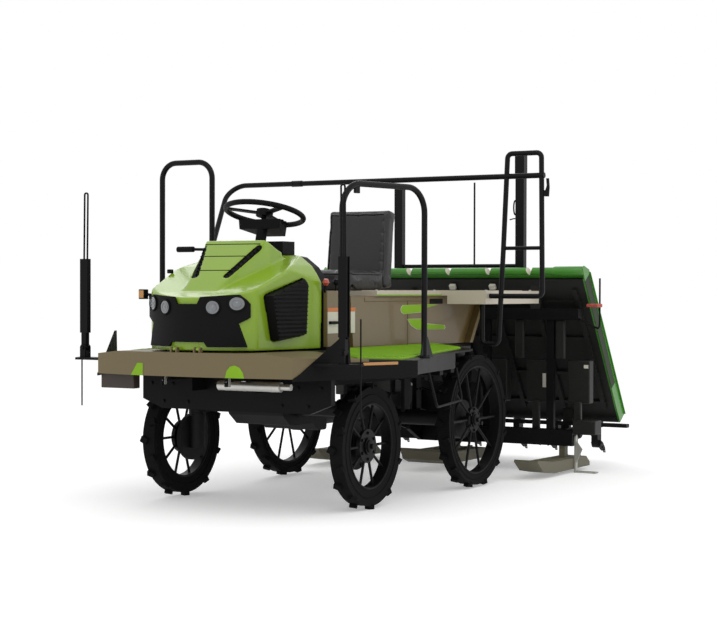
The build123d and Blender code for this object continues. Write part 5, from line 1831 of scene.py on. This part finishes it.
    def _floats(self) -> None:
        """Run two ribs along the top of each float."""
        piece = Piece("float_ribs", "float_olive", self.body, self.float_rib_bevel)
        for x, front, top in self.floats:
            middle, length = (front + self.float_rib_end) / 2, self.float_rib_end - front
            for off in (-self.float_rib_half, self.float_rib_half):
                size = (self.float_rib_width, length, self.float_rib_height)
                piece.box((x + off, middle, top), size)
        piece.done()


@dataclass
class MarkerDress:
    """Pivot bolts of the line markers."""

    pivot_half: float = 0.812
    pivot_height: float = 0.850
    pivot_faces: tuple[tuple[float, int], ...] = ((-0.624, -1), (-0.576, 1))
    pivot_bolt: Flat = (0.010, 0.007)

    def build(self) -> None:
        """Bolt both markers at their pivots."""
        for side in Side:
            name = f"marker_{side.name.lower()}"
            piece = Piece(f"{name}_pivot", "frame_black", name)
            for back, out in self.pivot_faces:
                place = (side.value * self.pivot_half, back, self.pivot_height)
                piece.bolt(place, (0, out, 0), *self.pivot_bolt)
            piece.done()


@dataclass
class PanelDress:
    """Plain stripes, raised lines, handles and seams of the side panels."""

    body: str = "chassis"
    stripes: tuple[tuple[Flat, ...], ...] = (
        (
            (0.660, 1.052), (0.668, 1.069), (0.690, 1.078), (1.030, 1.080), (1.120, 1.078),
            (0.980, 1.062), (0.900, 1.036), (0.700, 1.028), (0.672, 1.036),
        ),
        (
            (0.740, 0.998), (0.790, 0.958), (0.860, 0.937), (1.200, 0.931), (1.218, 0.942),
            (1.200, 0.956), (0.980, 0.966), (0.920, 0.996),
        ),
    )
    stripe_face: float = 0.4500
    stripe_edge_face: float = 0.4494
    stripe_edge_width: float = 0.005
    stripe_thickness: float = 0.0016
    swage: Point = (0.4505, 0.600, 1.112)
    swage_size: Point = (0.007, 0.720, 0.024)
    swage_bevel: float = 0.003
    handle: Point = (0.4505, 1.100, 1.098)
    handle_size: Point = (0.003, 0.165, 0.030)
    seam: Point = (0.4503, 0.740, 0.985)
    seam_size: Point = (0.0016, 0.003, 0.270)
    handle_bevel: float = 0.002

    def build(self) -> None:
        """Make every fitting of the side panels."""
        self._stripes()
        swages = ((self.swage, self.swage_size),)
        self._boxes("panel_swages", "side_bronze", self.swage_bevel, swages)
        fittings = ((self.handle, self.handle_size), (self.seam, self.seam_size))
        self._boxes("panel_handles", "black_plastic", self.handle_bevel, fittings)

    def _boxes(
        self, name: str, slot: str, bevel: float, parts: Sequence[tuple[Point, Point]]
    ) -> None:
        """Make boxes on both panels.

        Args:
            name: The piece's name.
            slot: Its finish.
            bevel: Its bevel's width.
            parts: Middle and size of each box on the left panel.
        """
        piece = Piece(name, slot, self.body, bevel)
        for side in Side:
            for (x, y, z), size in parts:
                piece.box((side.value * x, y, z), size)
        piece.done()

    def _stripes(self) -> None:
        """Lay plain green stripes with pale edges on the side panels."""
        green = Piece("side_stripes", "mat_green", self.body)
        edge = Piece("side_stripe_edges", "cream_plate", self.body)
        for side in Side:
            for outline in self.stripes:
                middle = Vector([sum(p[i] for p in outline) / len(outline) for i in (0, 1)])
                for piece, grow, x in (
                    (edge, self.stripe_edge_width, self.stripe_edge_face),
                    (green, 0.0, self.stripe_face),
                ):
                    points = []
                    for p in outline:
                        away = (Vector(p) - middle).normalized() * grow
                        points.append((side.value * x, p[0] + away.x, p[1] + away.y))
                    piece.prism(points, (side.value * self.stripe_thickness, 0, 0))
        green.done()
        edge.done()


@dataclass
class Stage:
    """Plain pale floor, light and the camera that takes the photograph's view."""

    lens: float = 84.8
    place: Point = (5.025, -8.906, 1.166)
    azimuth: float = 29.82
    pitch: float = 0.69
    roll: float = 0.11
    sensor_width: float = 36.0
    floor_size: float = 60.0
    floor_tone: float = 0.90
    floor_roughness: float = 0.95
    floor_lift: float = 0.30
    room_strength: float = 0.80
    panels: tuple[tuple[str, Point, Point, float, float], ...] = (
        ("key", (2.0, -5.0, 6.5), (0, -0.6, 0.8), 5.0, 105.0),
        ("fill", (6.0, 1.5, 4.0), (0, 0, 0.8), 4.0, 40.0),
        ("back", (-4.0, 4.5, 5.5), (0, 0, 1.0), 4.0, 60.0),
    )

    def build(self) -> None:
        """Place everything that isn't part of the machine."""
        self._floor()
        self._world()
        self._lights()
        self._camera()

    def _floor(self) -> None:
        """Lay the floor under the wheels."""
        bpy.ops.mesh.primitive_plane_add(size=self.floor_size, location=(0, 0, 0))
        floor = bpy.context.object
        floor.name = "floor"
        material = bpy.data.materials.new("floor_pale")
        material.use_nodes = True
        shader = material.node_tree.nodes["Principled BSDF"]
        shader.inputs["Base Color"].default_value = (*[self.floor_tone] * 3, 1)
        shader.inputs["Roughness"].default_value = self.floor_roughness
        shader.inputs["Specular IOR Level"].default_value = 0.0
        shader.inputs["Emission Color"].default_value = (1, 1, 1, 1)
        tree = material.node_tree
        lift = tree.nodes.new("ShaderNodeMath")
        lift.operation = "MULTIPLY"
        lift.inputs[1].default_value = self.floor_lift
        tree.links.new(self._seen(tree), lift.inputs[0])
        tree.links.new(lift.outputs["Value"], shader.inputs["Emission Strength"])
        floor.data.materials.append(material)

    def _seen(self, tree: bpy.types.NodeTree) -> bpy.types.NodeSocket:
        """Add the test for what is looked at, straight or by way of gloss or glass.

        Args:
            tree: The node tree that gets the nodes.

        Returns:
            A socket that is 1 for such a ray and 0 for light.
        """
        path = tree.nodes.new("ShaderNodeLightPath")
        total = path.outputs["Is Camera Ray"]
        for name in ("Is Glossy Ray", "Is Transmission Ray"):
            most = tree.nodes.new("ShaderNodeMath")
            most.operation = "MAXIMUM"
            tree.links.new(total, most.inputs[0])
            tree.links.new(path.outputs[name], most.inputs[1])
            total = most.outputs["Value"]
        return total

    def _world(self) -> None:
        """Light from all round, seen by the camera as a white background."""
        world = bpy.data.worlds.new("pale_room")
        bpy.context.scene.world = world
        world.use_nodes = True
        tree = world.node_tree
        tree.nodes.clear()
        out = tree.nodes.new("ShaderNodeOutputWorld")
        room = tree.nodes.new("ShaderNodeBackground")
        room.inputs["Color"].default_value = (1, 1, 1, 1)
        room.inputs["Strength"].default_value = self.room_strength
        seen = tree.nodes.new("ShaderNodeBackground")
        seen.inputs["Color"].default_value = (1, 1, 1, 1)
        seen.inputs["Strength"].default_value = 1.0
        mix = tree.nodes.new("ShaderNodeMixShader")
        tree.links.new(self._seen(tree), mix.inputs["Fac"])
        tree.links.new(room.outputs["Background"], mix.inputs[1])
        tree.links.new(seen.outputs["Background"], mix.inputs[2])
        tree.links.new(mix.outputs["Shader"], out.inputs["Surface"])

    def _lights(self) -> None:
        """Hang soft panels over the machine, with the largest to its front left."""
        for name, place, aim, size, power in self.panels:
            light = bpy.data.lights.new(name, "AREA")
            light.energy = power
            light.size = size
            lamp = bpy.data.objects.new(name, light)
            bpy.context.scene.collection.objects.link(lamp)
            lamp.location = place
            look = Vector(aim) - Vector(place)
            lamp.rotation_euler = look.to_track_quat("-Z", "Y").to_euler()

    def _camera(self) -> None:
        """Set the camera at the photograph's viewing angle."""
        data = bpy.data.cameras.new("camera")
        data.lens = self.lens
        data.sensor_width = self.sensor_width
        camera = bpy.data.objects.new("camera", data)
        bpy.context.scene.collection.objects.link(camera)
        bpy.context.scene.camera = camera
        turn, dip, roll = (math.radians(v) for v in (self.azimuth, self.pitch, self.roll))
        level = Vector((-math.sin(turn), math.cos(turn), 0)) * math.cos(dip)
        look = level - Vector((0, 0, math.sin(dip)))
        right = Vector((math.cos(turn), math.sin(turn), 0))
        up = right.cross(look)
        across = right * math.cos(roll) + up * math.sin(roll)
        upward = across.cross(look)
        turned = Matrix((across, upward, -look)).transposed().to_4x4()
        camera.matrix_world = Matrix.Translation(self.place) @ turned


def main() -> None:
    """Build every piece in order, then the stage."""
    bpy.context.scene.view_settings.view_transform = "Standard"
    CadNodes().dress()
    BonnetSkin().build()
    BonnetDress().build()
    FloorDress().build()
    RailDress().build()
    DeckDress().build()
    SeatDress().build()
    ConsoleDress().build()
    WheelDress().build()
    UnderDress().build()
    TrayDress().build()
    PlanterDress().build()
    MarkerDress().build()
    PanelDress().build()
    Stage().build()
    bpy.context.view_layer.update()


if __name__ == "__main__":
    main()
